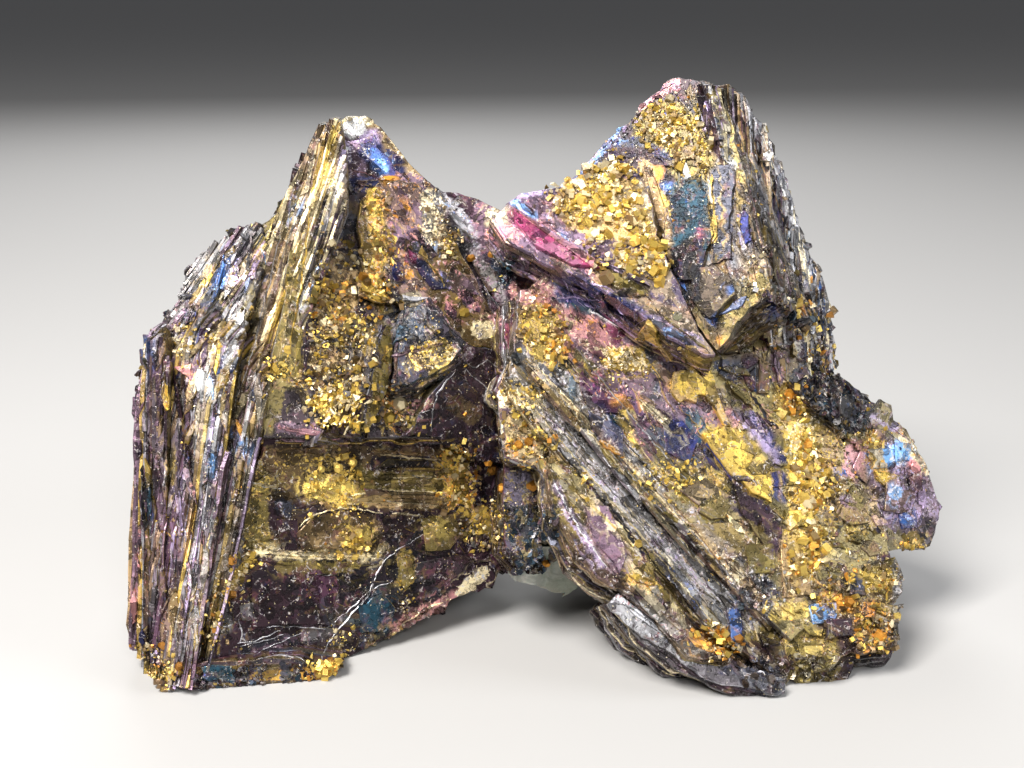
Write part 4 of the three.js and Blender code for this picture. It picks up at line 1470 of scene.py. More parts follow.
# %% [markdown]
# Tarnish is a film, so it lies in broad stains that cross from plate to plate. It is painted on
# each elevation as strokes: a colour, flecks of a second colour with their share, a width, and a
# route. A few strokes paint light and shade rather than tarnish: glints, pale bands on half-shaded
# plates and dark gaps, each marked where it stands. Later strokes cover earlier ones. Each corner
# of each face looks up the strokes of the elevation that it faces most, and mixes them with its
# plate's own colour. Near a stroke's edge the mesh keeps both colours and how far across the edge
# a corner is, and the finish draws the edge itself, crisp and uneven.

# %% Strokes of tarnish
BAND = 2.0


def paint(elevation, strokes):
    for colour, flecks, share, width, route in rows(strokes):
        elevation.strokes.append((PALETTE[colour], PALETTE[flecks], share, width, route))


def painted(elevation, spots):
    """For many places: the stain below, the stain over it with its cover, the flecks and share."""
    arm = spots - np.array(elevation.station)
    depth = arm @ np.array(elevation.into) / STATION_DISTANCE
    u, v = arm @ np.array(elevation.right) / depth, arm @ np.array(elevation.up) / depth
    under = np.tile(PALETTE["plum"], (len(spots), 1))
    over = under.copy()
    cover = np.ones(len(spots))
    flecks = np.tile(PALETTE["slate"], (len(spots), 1))
    share = np.full(len(spots), 0.4)
    for colour, second, amount, width, route in elevation.strokes:
        us, vs = [p[0] for p in route], [p[1] for p in route]
        reach = width / 2 + BAND / 2
        near = np.nonzero((u > min(us) - reach) & (u < max(us) + reach)
                          & (v > min(vs) - reach) & (v < max(vs) + reach))[0]
        if not len(near):
            continue
        un, vn = u[near], v[near]
        gap = np.full(len(near), 1e9)
        for (u0, v0), (u1, v1) in zip(route, route[1:] or route):
            du, dv = u1 - u0, v1 - v0
            along = np.clip(((un - u0) * du + (vn - v0) * dv) / max(du * du + dv * dv, 1e-9), 0, 1)
            gap = np.minimum(gap, np.hypot(un - u0 - along * du, vn - v0 - along * dv))
        fresh = 0.5 + (width / 2 - gap) / BAND
        near, fresh = near[fresh > 0], np.clip(fresh[fresh > 0], 0, 1)
        shown = cover[near] > 0.5
        under[near[shown]] = over[near[shown]]
        deep = fresh >= 1
        under[near[deep]] = colour
        over[near] = colour
        cover[near] = fresh
        weight = np.clip((fresh - 0.4) * 5, 0, 1)
        flecks[near] += (np.array(second) - flecks[near]) * weight[:, None]
        share[near] += (amount - share[near]) * weight
    return under, over, cover, flecks, share


# %% [markdown]
# The left lobe is violet and pale on its wall, brass and cream at its peak, brown and nearly
# black on its big face, with gold where grains gather.

# %% The front, left lobe
# The next sky stroke is a painted glint on the peak facet.
# The next two white strokes are painted glints on the shoulder.
paint(FRONT, """
plum slate .4 60 -30,-10 -28,10
# Wall, from its left edge inward.
mauve plum .5 12 -50,4 -50,-40
grey olive .5 6 -41,-4 -43.4,-34
tan grey .5 1.6 -38.6,-10 -42.6,-30
tan silver .5 1.2 -41,-16 -44.6,-34
silver mauve .5 3 -45.5,0 -46,-38
mauve rose .5 2.6 -46.6,-13 -46.6,-26
lavender white .5 1.2 -49.3,-14 -48.2,-22
sky silver .4 1.2 -44,-10 -44,-14
black plum .4 1.4 -44,-16
plum indigo .5 1.4 -49.7,2 -47,-13
gold cream .4 1.8 -50,-11 -50,-14
gold cream .4 1.6 -38,-25 -41,-29 -43,-32 -44.5,-36 -45,-39
plum rose .45 3.4 -55,-22 -55,-42
black plum .4 2.6 -54.2,-12 -53.8,-20
teal indigo .4 1 -53.3,-14 -53,-20
rose orange .4 1.6 -55.6,-30 -55.4,-35
tan cream .4 2 -49.5,-30.6 -49.5,-36
indigo blue .3 1.8 -54.3,-36 -54.3,-38
brass orange .4 2.6 -53,-43 -50.4,-43
gold mauve .4 1.4 -51,0 -50.5,-4
blue sky .4 2 -53.6,6 -53.6,4
lavender orange .3 1.8 -53,7
rose orange .4 2 -48.6,2.2 -47.6,1.4
orange gold .5 1.4 -40,-5.5 -39.6,-9
sky silver .3 1.2 -41,-7 -38.4,-10.6
# Shoulder.
grey mauve .5 9 -46,12 -40,18
grey silver .5 3.4 -42,20.6 -37.6,21
mauve olive .5 5 -39,17 -37,8
grey olive .4 3 -38.4,15 -39,10
white sky .35 2.2 -40.4,10.6 -41.4,3.4
white sky .3 2.4 -45.4,1 -44.4,-2
indigo plum .4 2.6 -47,11.6 -46.4,5.4
cream gold .5 2 -49.4,7 -48,3.4
cream gold .5 1.2 -43.6,9 -44.2,4.4
silver white .4 1.6 -47,17 -45,17
blue sky .5 1.4 -42,18.8 -43.8,12.6
gold orange .5 2 -44.8,15.6 -44,17
sky blue .5 1.4 -40,-1 -40,-3
# Ridge plates between the shoulder and the pyramid.
olive tan .4 8 -32,26 -34,10 -38,-4
tan silver .5 2.6 -34.4,20 -37.6,0
plum black .5 2.6 -29.6,10 -30,1
olive gold .4 1.4 -31.5,8 -31.6,0
gold cream .4 1 -33,16 -34.5,11 -35.5,7
black slate .4 1.8 -29.2,18 -29.4,10
sky silver .4 1 -31.3,27 -31.3,25
cream white .5 1.6 -30,26.8 -29.6,25.2
# Peak.
tan cream .5 5 -29,31 -26,37
gold brass .5 1.6 -24.3,39.7 -25.5,38 -26.5,35 -27.3,30.5
brass cream .5 2.2 -27,30 -26.4,28
tan cream .5 3.6 -20,38.2 -17.3,35 -14.4,31.2
mauve lavender .45 3.4 -24,35 -23,32
lavender mauve .3 2.2 -21.6,36.2 -20.4,36.2
indigo mauve .3 3.6 -21,34.6 -17,31.4
blue indigo .3 1.9 -20.6,34 -18.8,31.4
cream white .5 1.8 -25.3,39.5 -20,39.3
white cream .4 2.4 -24,37.4 -22.6,37.6
sky blue .4 1 -19.4,32.8 -18.6,31.6
lavender white .5 1.4 -24.8,35.4 -24.2,33
orange gold .5 1.4 -18.8,30.1 -16,30.1
indigo slate .5 2.4 -23,29.4 -20,29.2
# Pyramid face.
bronze olive .4 9 -24,22 -22,8
mauve orange .45 8 -15,27 -12,14
plum rose .4 6 -13,20 -8,12
cream brass .5 2.6 -25.8,27.8 -26.2,25
slate lavender .35 4.4 -27,23 -24.6,23.4
plum slate .4 3 -27,19.8 -24,20.4
silver sky .5 1 -28,18.8 -28.3,17 -29.5,15 -31,11
mauve orange .4 3 -18.2,28 -15.8,27
orange rose .4 1.6 -15.4,25.8
mauve rose .4 2.6 -18.4,23.4 -16.6,23
gold orange .5 2.2 -20.5,28 -20,24 -19.3,20 -20,17 -21,14 -18,11
brass orange .5 1.4 -20.2,26 -19.6,20
gold plum .5 1.8 -17.4,21.4
indigo slate .4 1.6 -17,17 -16.5,15.4
magenta plum .5 1.8 -15,18.6
orange rose .4 1.6 -15,16.2
slate blue .5 2 -14,20 -12.5,17.5 -10,14.5
sky white .4 1.2 -12,20.2
tan orange .5 .8 -13.4,19.4 -12.2,17.4 -10.5,15.4
grey cream .55 3.6 -12,27 -11.4,22
black slate .4 2.2 -8.2,23.6 -7,19
silver sky .4 1.2 -10.5,28 -7,24.5 -5,21
gold cream .5 1.6 -9.7,21
grey mauve .5 1.6 -6,20 -1,12
mauve indigo .4 2.6 -6,15 -5.2,11
plum indigo .4 3 -7,13 -3.6,8.6 0,5
aubergine rose .5 2 -7,13 -2,8.4
cream grey .5 2.6 -5,8 -3.6,8
magenta rose .4 1.8 -.8,8 -.4,6
teal black .5 4 -1,18 1,15
# The gravel and the centre.
tan bronze .5 7 -26,16 -25,9
bronze tan .55 8 -26,4 -24,0
gold brass .5 3 -22,9 -20.6,5
gold cream .5 4.6 -26.6,-3 -24.4,-4
plum slate .5 2.4 -22,11.4 -20.6,9.6
bronze gold .5 2 -31,-.6 -30,-2.4
slate grey .5 6 -16,10 -13,9
black slate .4 1.6 -18.6,8.4 -20.4,1 -22,-6
grey cream .5 2 -16,12.6 -14,12.8
bronze orange .5 3 -18.4,-1 -17,-6
gold orange .5 2.2 -16.6,-3 -17.6,-5.4
bronze gold .5 4 -13.6,4 -11,4
gold cream .5 .9 -14,2.5 -13,4.5 -11,6 -10,6.5 -8.8,4 -9.3,2.2 -11.5,1.8
tan gold .5 2.4 -13,-.6 -10,.4
rose cream .45 1.8 -14.6,-3.6 -12.2,-2.9
plum black .5 7 -8,-1 -4.6,-5.4
bronze plum .5 3 -8,-3 -6,-4.6
mauve silver .45 2.6 -6.5,4.6
plum mauve .4 2.2 -3.8,2
# Lower big face.
bronze olive .45 9 -34,-13 -10,-14
olive tan .45 4 -22,-14 -10,-15
mauve rose .45 1.8 -34,-6.4 -30,-6.6 -27,-7 -24.5,-8.3
bronze gold .5 2.4 -34,-11.4 -24,-12
black bronze .4 2.4 -20,-11.6 -12,-11.8
brass gold .5 4 -28.8,-15 -24.4,-16
tan cream .4 2.6 -21,-17 -11,-17.2
olive gold .45 4 -37.6,-14 -37.4,-23
slate blue .45 2.2 -34,-17.6 -32.6,-18.4
plum indigo .45 2.6 -33.4,-20.6 -32.6,-23.4
gold orange .5 4.4 -8.4,-11.4 -7.6,-17
plum mauve .5 2.6 -5.4,-11.4 -5.2,-15.6
gold olive .5 4.4 -4,-20 -4,-22.6
black plum .5 9 -35,-31 -12,-27
bronze tan .45 6 -28.4,-22 -22,-22
tan bronze .45 2.4 -28,-23 -26.8,-24.2
brass gold .5 2.8 -24,-23 -21.6,-22
cream gold .4 1 -38,-24.8 -30,-25.2 -20,-25.2 -18.8,-23.8
olive bronze .5 1.8 -34,-26.8 -23,-26.9
aubergine mauve .35 3.6 -28.8,-29.2 -27.4,-31.6
slate silver .35 1.6 -27.6,-31.6 -26.8,-35.6
olive brass .5 3.6 -11.4,-21 -10,-22
black plum .4 2.4 -9,-23.4 -9.4,-25.6
plum black .5 6 -39,-33 -34,-33
slate plum .5 5 -38,-40 -28,-39
mauve silver .4 1.4 -38,-39.8 -34,-38.2 -31,-36.8
teal indigo .45 4 -20,-33 -19.4,-35
teal blue .4 2.2 -45,-42.4 -41.6,-42.6
olive gold .4 2.6 -15.6,-25.6 -15.6,-29
plum aubergine .5 6 -10,-26.6 -5,-25
rose cream .45 2 -17,-36 -14,-34 -10,-32.2 -7,-31
cream silver .5 2 -7.4,-30.6 -4.2,-27.6
olive slate .5 4 -20,-40 -12,-37
orange gold .5 3.4 -27.4,-42.6 -26.6,-42.6
black slate .5 3.4 -32,-43
""")

# %% [markdown]
# The right lobe goes from gold and lavender at its crest through rose and indigo to olive at its
# foot. The sky-blue stains are on the bump and the lowest shelf.

# %% The front, right lobe
# The next three dark strokes are painted shade in the gaps under the shelf plates.
# The silver bands on the crest's right flank are partly painted light, brightening plates that the lamps
# leave half in shade.
paint(FRONT, """
olive plum .45 44 22,-4 38,-16
bronze slate .45 18 32,36 38,10
grey slate .5 7 39,30 45,6
# Terrace.
mauve rose .4 10 -1,24 10,24
rose cream .45 4 0,23.4 8,25.6
cream rose .45 2.6 -3,24.4 -1,25
lavender blue .5 1.6 1,28 7,28.8
mauve lavender .4 2.4 4.6,25.4 5.8,24.4
sky blue .4 1.4 .6,26.6 3.2,24.9
plum indigo .4 1 1.6,26.8 3.3,25.2
rose cream .4 2.4 -3,22 0,20.6
lavender rose .5 3 7.5,21.5
sky white .4 1.6 7.5,21.5
magenta rose .35 2.2 .4,24.6 8,18.6 12.4,16.8
gold tan .5 9 11,26.6 19,25
cream brass .5 4 18.6,28 19.6,25
olive gold .5 7 21,38 25,38 26,33
tan cream .5 2.4 20.6,37.4 22.6,37
tan cream .5 2.4 25,34.4 26.4,33.6
indigo blue .4 1.6 22.4,40
indigo slate .4 1.8 25.5,36
slate indigo .5 1.6 14,35.5 19,35.7 23,33
orange gold .4 2.2 21,31
blue sky .5 1.4 22.8,29
rose lavender .5 1.6 8.3,29.8 12.5,34.5 16,39.5 24,44.3
sky lavender .5 .8 9,29.6 13,34 17,39.4
# Crest plates and right slope.
tan grey .4 2.2 19.5,32 22,24 24,18
slate olive .4 3 27.5,42 30,37
lavender white .4 1.4 28.5,41 28.5,38
olive slate .5 3 30,43 34.6,31
silver sky .5 1 30.6,34 32.4,31.8
silver white .5 1.6 33.4,42.4 41,27 45,15
silver slate .5 2.4 36,38 43,18
teal black .5 5.4 26,28 26.4,16
teal blue .4 1.6 26,28 26.6,21.4
magenta rose .5 1.6 27.4,22.1
black slate .4 5 26,19 26,14
slate bronze .4 3.6 31,31 31,18
gold orange .4 .9 29,30 29.8,21
indigo blue .4 1.8 34,25 34.4,20.6
tan bronze .5 3.2 36,18 36,15
bronze olive .5 5 30,16 30,10
blue sky .4 1.4 32.3,13.8
blue slate .4 1.2 29.6,9.2 34,12.4
olive tan .4 4 32,10 36,15
olive cream .3 3.6 32,6.2 36.6,6.2
orange olive .4 1.2 30.5,6
indigo blue .4 2.6 38.5,11
plum black .5 2.6 40.4,11
orange plum .5 1.8 43,10.8
grey silver .5 4 46,12 46,2
# Upper main face.
mauve rose .4 10 5,16 16,6 27,-6
rose cream .5 3.4 4.6,14 9,9 14,5
teal lavender .35 4 8,13.4 17,10.6
indigo lavender .35 2 6.4,15.4 12,14.4
olive tan .5 2.8 13,15.6 19,13 25,9.6 29,5
tan olive .4 1 20,13 28,9.3
black indigo .4 .8 17,15.7 20,13.5 24,11.5
indigo lavender .4 3.2 8,13.6 14,12 20,8.6 25,5.6
rose orange .5 3 10.8,8.8 13.2,7.4
magenta plum .4 2.4 15,8.4 15.6,7
plum aubergine .4 2.2 12.6,5
gold cream .5 3.6 14.6,3.6 18.8,3.6
gold brass .5 1.6 19.4,7.2 21,7.2 22.4,5
slate silver .35 1.6 20,5.4 21.6,2 21.2,-2
mauve plum .4 2 22.8,4.6 22.8,-2
slate lavender .4 2.4 21,9 27,6
sky white .4 .9 23.3,6.9
gold olive .4 2.2 26,4.8 27,3
gold tan .4 3.6 25.6,.2 27.6,-.6
tan gold .5 2 29.4,-1 31.5,-4 33,-6
rose cream .4 1.2 31.6,-3.8 32.8,-5.6
slate blue .45 2.8 31,2.6 32.6,2
black bronze .4 3.4 35,2.4 36.6,0
mauve rose .45 1.8 38.4,4 39.6,-.6
# Lower main face.
slate blue .4 2 8.7,.4 8.8,-2
aubergine magenta .4 4.4 11.4,0 14.6,-2.6
aubergine orange .4 1.6 12,-2.4 13.6,-1.4
orange rose .45 1.6 15.4,-2.4 18.6,-3
rose orange .4 2.6 5,8 8,5
indigo aubergine .5 4.4 12.6,-5 14.8,-9
teal sky .4 .9 14.5,-4.8 16,-6.3
aubergine rose .4 2.6 18.6,-5 20.4,-10
gold orange .4 1.4 16.2,-4 17.6,-9 18,-12
cream orange .4 1.2 19,-3 21,-4 24,-7 25.2,-8.2
slate teal .5 2.6 21,-7 26.6,-11.4
indigo slate .5 2.4 24,-6 28.6,-10
teal black .4 2.6 26.4,-4.8 28.4,-8
gold olive .6 3.4 29.6,-7.6 33.6,-8.6 37.6,-14.6
lavender silver .5 1.6 33,-4.5 39,-11
indigo lavender .5 1.4 35.4,-4.6 40,-11
tan rose .5 1 37,-3.6 40,-8
plum indigo .5 2.4 28.6,-9 32,-14
plum indigo .5 4 33,-14.6 36,-19 38.6,-23
indigo lavender .4 2 39,-13.6 39.4,-16.4
olive gold .5 5 20,-14 30,-15
olive tan .45 8 24,-18 34,-24
tan cream .4 1.2 22,-19 30,-23
olive cream .3 4 36,-26
tan olive .4 5 41.6,-24 42,-30
slate black .5 5 33,-31 37,-31
# Pyrite band and what is right of it.
gold cream .5 5 41,-2 43,-12 43,-26
orange gold .5 1.8 40.8,-1.6 40.7,-3.9
tan gold .5 4 46.6,-8 47,-19
rose tan .5 3.8 50.6,-10 50.6,-12.4
blue indigo .5 1.3 48.8,-13
indigo blue .5 1.3 51.3,-13.7
mauve slate .4 1.8 48.8,-17
tan olive .5 5 53,-16 54,-19
olive gold .5 4 51,-22
black slate .5 7 44,0 50,-4
# Bump.
mauve lavender .5 8 56,-12 58,-18
sky white .5 3.2 53.6,-11 57.4,-10
rose lavender .5 2 59,-12 59.4,-14
cream orange .5 1.6 57.4,-7.6 61,-12.6
magenta rose .5 1.2 58.6,-6.4 61.8,-11
sky white .5 2.2 56.4,-16
mauve lavender .5 2 62.6,-16 63,-20
blue sky .4 2 58,-20
gold orange .5 3 59,-23
lavender silver .5 1.6 53.4,-4.8 56,-6.2
gold orange .5 2.2 53,-8 54.4,-13.6
# Shelves.
bronze olive .5 7 46,-32 54,-30
gold brass .5 3.4 52.4,-28.6 55.6,-28.8
slate blue .5 2.6 50.6,-29.6
orange gold .5 2.4 46,-31.8 49.6,-32.4
sky blue .4 2.4 45.4,-34
brass gold .4 2.8 37.6,-33.6 42.6,-33.6
black plum .4 1.2 44,-35.8 50,-34.9
black plum .4 1.4 51,-34.2 56,-33.6
plum black .5 3.4 47,-36 49,-36
olive gold .4 4.4 41.6,-38 46,-38.6
bronze orange .5 6 53,-35 53,-37
black bronze .5 1.8 44,-40.4 53,-40.6
grey olive .5 2.6 57,-27 57.4,-38
olive black .5 5 43,-43 47,-42
slate grey .4 5 36,-42 38,-44
# Diagonal stack and the middle.
grey silver .5 9 3,1 18,-16 34,-32
tan cream .5 1.6 2,3 12,-7 24,-19 36,-31
olive bronze .5 1.6 5,-1 16,-12 30,-27
silver lavender .5 1.4 6,-6 16,-18 30,-31
lavender white .4 1.4 6.6,-15 9,-20 13.6,-26.6
mauve grey .45 4.4 13,-20 15.6,-26
cream gold .4 1.2 9.5,-16 18,-24
slate blue .5 2 22,-26 28,-34
gold orange .5 1.8 17.4,-28.8 20.4,-29.4
grey plum .5 5 17.6,-34 26,-39
silver rose .5 2 16,-31 22,-36
blue slate .4 2.2 32.6,-34 33,-37
orange gold .5 3 28,-37.4 31,-38.4
rose tan .5 3.4 1,13.6 4,13
gold bronze .5 6 4,9 5,6
black bronze .4 1.8 8,3.2
cream grey .5 3 -1,-2 3,-2
olive orange .4 6 1,-7 3,-10
slate olive .5 8 2,-16 3,-24
""")

# %% [markdown]
# The ends and the back get fewer and broader stains of the same colours, which run down the
# faces in slanting bands.

# %% The ends and the back
paint(LEFT, """
mauve plum .45 80 0,0
silver lavender .4 4 -20,4 -18,-30
slate indigo .45 14 -6,12 -6,-26
gold tan .4 5 -12,26 -10,2
plum magenta .4 12 12,10 14,-26
blue sky .4 3 2,24 4,8
olive gold .45 8 22,2 22,-26
orange gold .4 3 4,-14 8,-30
""")
paint(BACK, """
plum slate .45 120 0,0
bronze olive .5 12 -44,10 -30,-44
indigo blue .4 5 -30,26 -20,-8
mauve rose .45 6 -18,20 -4,-44
tan orange .5 3.4 -6,6 -12,-26
slate silver .4 9 4,24 18,-44
aubergine magenta .4 4 12,28 26,-18
olive gold .5 6 22,24 48,-44
teal indigo .4 3.4 34,12 46,-26
tan gold .5 3 14,-8 40,-44
lavender silver .4 3 -48,-4 -40,-30
black indigo .5 6 -24,-10 -16,-46
grey tan .5 5 20,-20 30,-46
""")
paint(RIGHT, """
olive slate .45 80 0,0
silver grey .45 6 -14,30 -8,4
gold orange .45 7 -24,-6 -18,-30
sky lavender .45 4 -18,-8 -10,-12
rose mauve .4 5 -8,-6 -4,-26
plum indigo .45 12 6,24 10,-10
bronze gold .4 10 16,10 18,-26
teal blue .35 4 0,16 2,-4
""")
print("strokes", len(FRONT.strokes), "in front and", len(BACK.strokes), "behind")

# %% [markdown]
# Shader networks are easier to read as sums. This class wraps one output socket of a material.
# Plain operators on it add Math nodes, and its node() adds any other node from a type, settings
# and what goes into the sockets.

# %% Sockets as sums
class Socket:
    """An output socket of a material's node tree, or no socket yet, to start from."""

    def __init__(self, tree, output=None):
        self.tree = tree
        self.output = output

    def node(self, kind, settings, inputs, output=0):
        made = self.tree.nodes.new(kind)
        for name, value in settings.items():
            if name == "stops":
                elements = made.color_ramp.elements
                elements[0].position, elements[-1].position = value[0][0], value[-1][0]
                for position, _ in value[1:-1]:
                    elements.new(position)
                for element, (_, colour) in zip(elements, value):
                    element.color = (*colour, 1)
            else:
                setattr(made, name, value)
        for name, value in inputs.items():
            if isinstance(value, Socket):
                self.tree.links.new(value.output, made.inputs[name])
            else:
                made.inputs[name].default_value = value
        return Socket(self.tree, made.outputs[output])

    def math(self, operation, *values):
        return self.node("ShaderNodeMath", {"operation": operation}, dict(enumerate(values)))

    def __add__(self, other):
        return self.math("ADD", self, other)

    def __sub__(self, other):
        return self.math("SUBTRACT", self, other)

    def __rsub__(self, other):
        return self.math("SUBTRACT", other, self)

    def __mul__(self, other):
        return self.math("MULTIPLY", self, other)

    def __gt__(self, edge):
        return self.math("GREATER_THAN", self, edge)

    __radd__ = __add__
    __rmul__ = __mul__

    def step(self, start, end):
        """0 below start, 1 above end, and smooth between."""
        return self.node("ShaderNodeMapRange", {"interpolation_type": "SMOOTHSTEP"},
                         {"Value": self, "From Min": start, "From Max": end})

    def mix(self, low, high):
        """Two colours mixed by this share. A colour is a socket or three numbers."""
        low, high = [c if isinstance(c, Socket) else (*c, 1) for c in (low, high)]
        return self.node("ShaderNodeMix", {"data_type": "RGBA"}, {0: self, 6: low, 7: high}, 2)

    def scaled(self, by):
        """This colour or place made larger or smaller."""
        return self.node("ShaderNodeVectorMath", {"operation": "SCALE"}, {0: self, "Scale": by})

    def cloud(self, scale, detail=2.0, roughness=0.5, distortion=0.0):
        """Soft noise at this place."""
        return self.node("ShaderNodeTexNoise", {},
                         {"Vector": self, "Scale": scale, "Detail": detail, "Roughness": roughness,
                          "Distortion": distortion})

    def bump(self, height, strength, distance):
        return self.node("ShaderNodeBump", {},
                         {"Height": height, "Strength": strength, "Distance": distance})


def new_finish(name):
    """A material, its shader, and its place in millimetres."""
    made = bpy.data.materials.new(name)
    made.use_nodes = True
    start = Socket(made.node_tree)
    place = start.node("ShaderNodeTexCoord", {}, {}, "Object").scaled(1 / MM)
    return made, made.node_tree.nodes["Principled BSDF"], place


def from_mesh(start, name, output="Color"):
    return start.node("ShaderNodeAttribute", {"attribute_name": name}, {}, output)


def wire(shader, **inputs):
    for name, socket in inputs.items():
        socket.tree.links.new(socket.output, shader.inputs[name.replace("_", " ").title()])


# %% [markdown]
# Covellite is a metal to look at: nearly black where it mirrors nothing, with a tarnish film of
# strong colours. The stain colours come from the mesh. On top the shader adds what is too fine
# for the mesh: flecks with crisp edges, the fine growth lines of each plate, pale torn veins,
# bright dust, and a film that drifts through blue and rose on the darkest faces. It also paints
# light and shade: tiles lighter and darker at random as painted sheen of small facets, and dark
# lines along cracks as painted shade. Flecks and veins also stand proud a little, which the bump
# turns into tiny highlights, and the cracks sink a little.

# %% Covellite finish
VEIN = (0.62, 0.57, 0.55)
DUST = (0.90, 0.76, 0.46)
FILM = [(0.30, (0.010, 0.030, 0.120)), (0.42, (0.060, 0.020, 0.050)), (0.50, (0.180, 0.050, 0.070)),
        (0.58, (0.230, 0.160, 0.040)), (0.68, (0.030, 0.070, 0.160))]


def covellite_finish():
    made, shader, place = new_finish("tarnished_covellite")
    lie = from_mesh(place, "lie", "Vector")
    share = from_mesh(place, "flecks", "Alpha")
    rim = from_mesh(place, "under", "Alpha")

    broad = place.cloud(0.55, 4, 0.62, 0.4)
    fine = place.cloud(2.1, 4, 0.68, 0.3)
    mottle = broad * 0.45 + fine * 0.55
    cover = from_mesh(place, "over", "Alpha") + (broad - 0.5) * 1.3 + (fine - 0.5) * 0.7
    stain = cover.step(0.42, 0.58).mix(from_mesh(place, "under"), from_mesh(place, "over"))
    flecked = (mottle + share * 0.42).step(0.69, 0.75)
    colour = flecked.mix(stain, from_mesh(place, "flecks"))

    film = place.node("ShaderNodeValToRGB", {"stops": FILM}, {"Fac": place.cloud(0.28, 2, 0.6, 1.2)})
    colour = (broad.step(0.50, 0.62) * 0.32).mix(colour, film)

    across = lie.node("ShaderNodeCombineXYZ", {}, {"X": 0.30, "Y": 4.5 - rim * 4.1, "Z": 11.0})
    grow = lie.node("ShaderNodeVectorMath", {"operation": "MULTIPLY"}, {0: lie, 1: across})
    lines = grow.cloud(1.0, 3, 0.7)
    tone_and_sheen = 1 + (lines - 0.5) * (0.9 + rim * 1.9)

    # Bent Voronoi tiles, lighter and darker at random, are painted sheen: they stand in for small facets,
    # some turned toward the light and some away. Growth lines and tiles together scale the colour.
    drift = place.node("ShaderNodeTexNoise", {}, {"Vector": place, "Scale": 0.5, "Detail": 3.0}, "Color")
    bent = place.node("ShaderNodeVectorMath", {"operation": "ADD"}, {0: place, 1: drift.scaled(3.5)})
    sheen_tiles = bent.node("ShaderNodeTexVoronoi", {}, {"Vector": bent, "Scale": 0.6}, "Color")
    tile = sheen_tiles.node("ShaderNodeSeparateColor", {}, {"Color": sheen_tiles})
    tone_and_sheen = tone_and_sheen.math("MAXIMUM", tone_and_sheen, 0.12) * (0.36 + tile * 1.3)
    colour = colour.scaled(tone_and_sheen)
    edges = {"feature": "DISTANCE_TO_EDGE"}
    cells = bent.node("ShaderNodeTexVoronoi", edges, {"Vector": bent, "Scale": 0.42})
    veins = (1 - cells.step(0.01, 0.05)) * fine.step(0.50, 0.56) * broad.step(0.46, 0.54)
    colour = (veins * 0.7).mix(colour, VEIN)
    # Dark lines along Voronoi cell edges are painted shade in cracks; the bump also sinks them a little.
    shards = bent.node("ShaderNodeTexVoronoi", edges, {"Vector": bent, "Scale": 0.8})
    crack_shade = (1 - shards.step(0.02, 0.08)) * (1 - fine.step(0.42, 0.50))
    colour = colour.scaled(1 - crack_shade * 0.75)

    specks = place.node("ShaderNodeTexVoronoi", {}, {"Vector": place, "Scale": 2.6, "Randomness": 1.0})
    chosen = Socket(specks.tree, specks.output.node.outputs["Color"])
    lucky = chosen.node("ShaderNodeSeparateColor", {}, {"Color": chosen})
    dust = (1 - specks.step(0.12, 0.24)) * (lucky > 0.84)
    colour = (dust * 0.8).mix(colour, DUST)

    height = mottle * 0.45 + flecked * 0.2 + lines * (0.15 + rim * 0.35) + veins * 0.3 - crack_shade * 0.3
    wire(shader, base_color=colour, roughness=0.08 + fine * 0.22 + tile * 0.18 + flecked * 0.06,
         normal=height.bump(height, 0.5, 0.00025))
    shader.inputs["Metallic"].default_value = 0.58
    return made


# %% [markdown]
# Pyrite is brass-yellow metal. Its grains carry their own shades from the mesh, from pale cream
# to orange-brown where iron has begun to rust. Fine parallel lines cross the faces of the
# crystals, and rust gathers in spots.

# %% Pyrite finish
RUST = (0.30, 0.15, 0.04)


def pyrite_finish():
    made, shader, place = new_finish("pyrite")
    lie = from_mesh(place, "lie", "Vector")
    spots = place.cloud(1.3, 4, 0.65)
    rust = spots.step(0.55, 0.68)
    colour = (rust * 0.5).mix(from_mesh(place, "under"), RUST)
    across = lie.node("ShaderNodeVectorMath", {"operation": "MULTIPLY"}, {0: lie, 1: (1.0, 9.0, 1.0)})
    lines = across.cloud(1.2, 2, 0.6)
    colour = colour.scaled(0.78 + lines * 0.45)
    height = lines * 0.4 + place.cloud(3.5, 3, 0.6) * 0.6
    wire(shader, base_color=colour, roughness=0.26 + rust * 0.3 + spots * 0.1,
         normal=height.bump(height, 0.5, 0.0002))
    shader.inputs["Metallic"].default_value = 0.62
    return made


# %% [markdown]
# A lump of milky quartz shows under the middle. It is pale and glassy, with cloudy veils and a
# greenish stain, and lets a little light in.

# %% Quartz finish
DULL, MILKY, GREENISH = (0.30, 0.32, 0.28), (0.56, 0.56, 0.50), (0.16, 0.20, 0.13)


def quartz_finish():
    made, shader, place = new_finish("milky_quartz")
    veils = place.cloud(0.4, 5, 0.65, 0.8)
    colour = veils.step(0.42, 0.66).mix(DULL, MILKY)
    colour = (place.cloud(0.16, 3, 0.6).step(0.46, 0.62) * 0.6).mix(colour, GREENISH)
    height = place.cloud(1.1, 6, 0.7)
    wire(shader, base_color=colour, roughness=0.22 + veils * 0.3, normal=height.bump(height, 0.5, 0.0005))
    shader.inputs["Subsurface Weight"].default_value = 0.15
    shader.inputs["Subsurface Scale"].default_value = 0.003
    return made


FINISHES = {"covellite": covellite_finish(), "pyrite": pyrite_finish(), "quartz": quartz_finish()}

# %% [markdown]
# Each heap now becomes one mesh. Its corners get the stain and the flecks from the elevation that
# their face turns to, mixed with the plate's own colour by how firmly the face holds it. The
# front is favoured a little over the sides. A face that holds its colour firmly counts as a rim.

# %% Build the meshes
RIM_HOLD = 0.62
PAINTED = [(FRONT, 1.25), (LEFT, 1.0), (RIGHT, 1.0), (BACK, 1.0)]


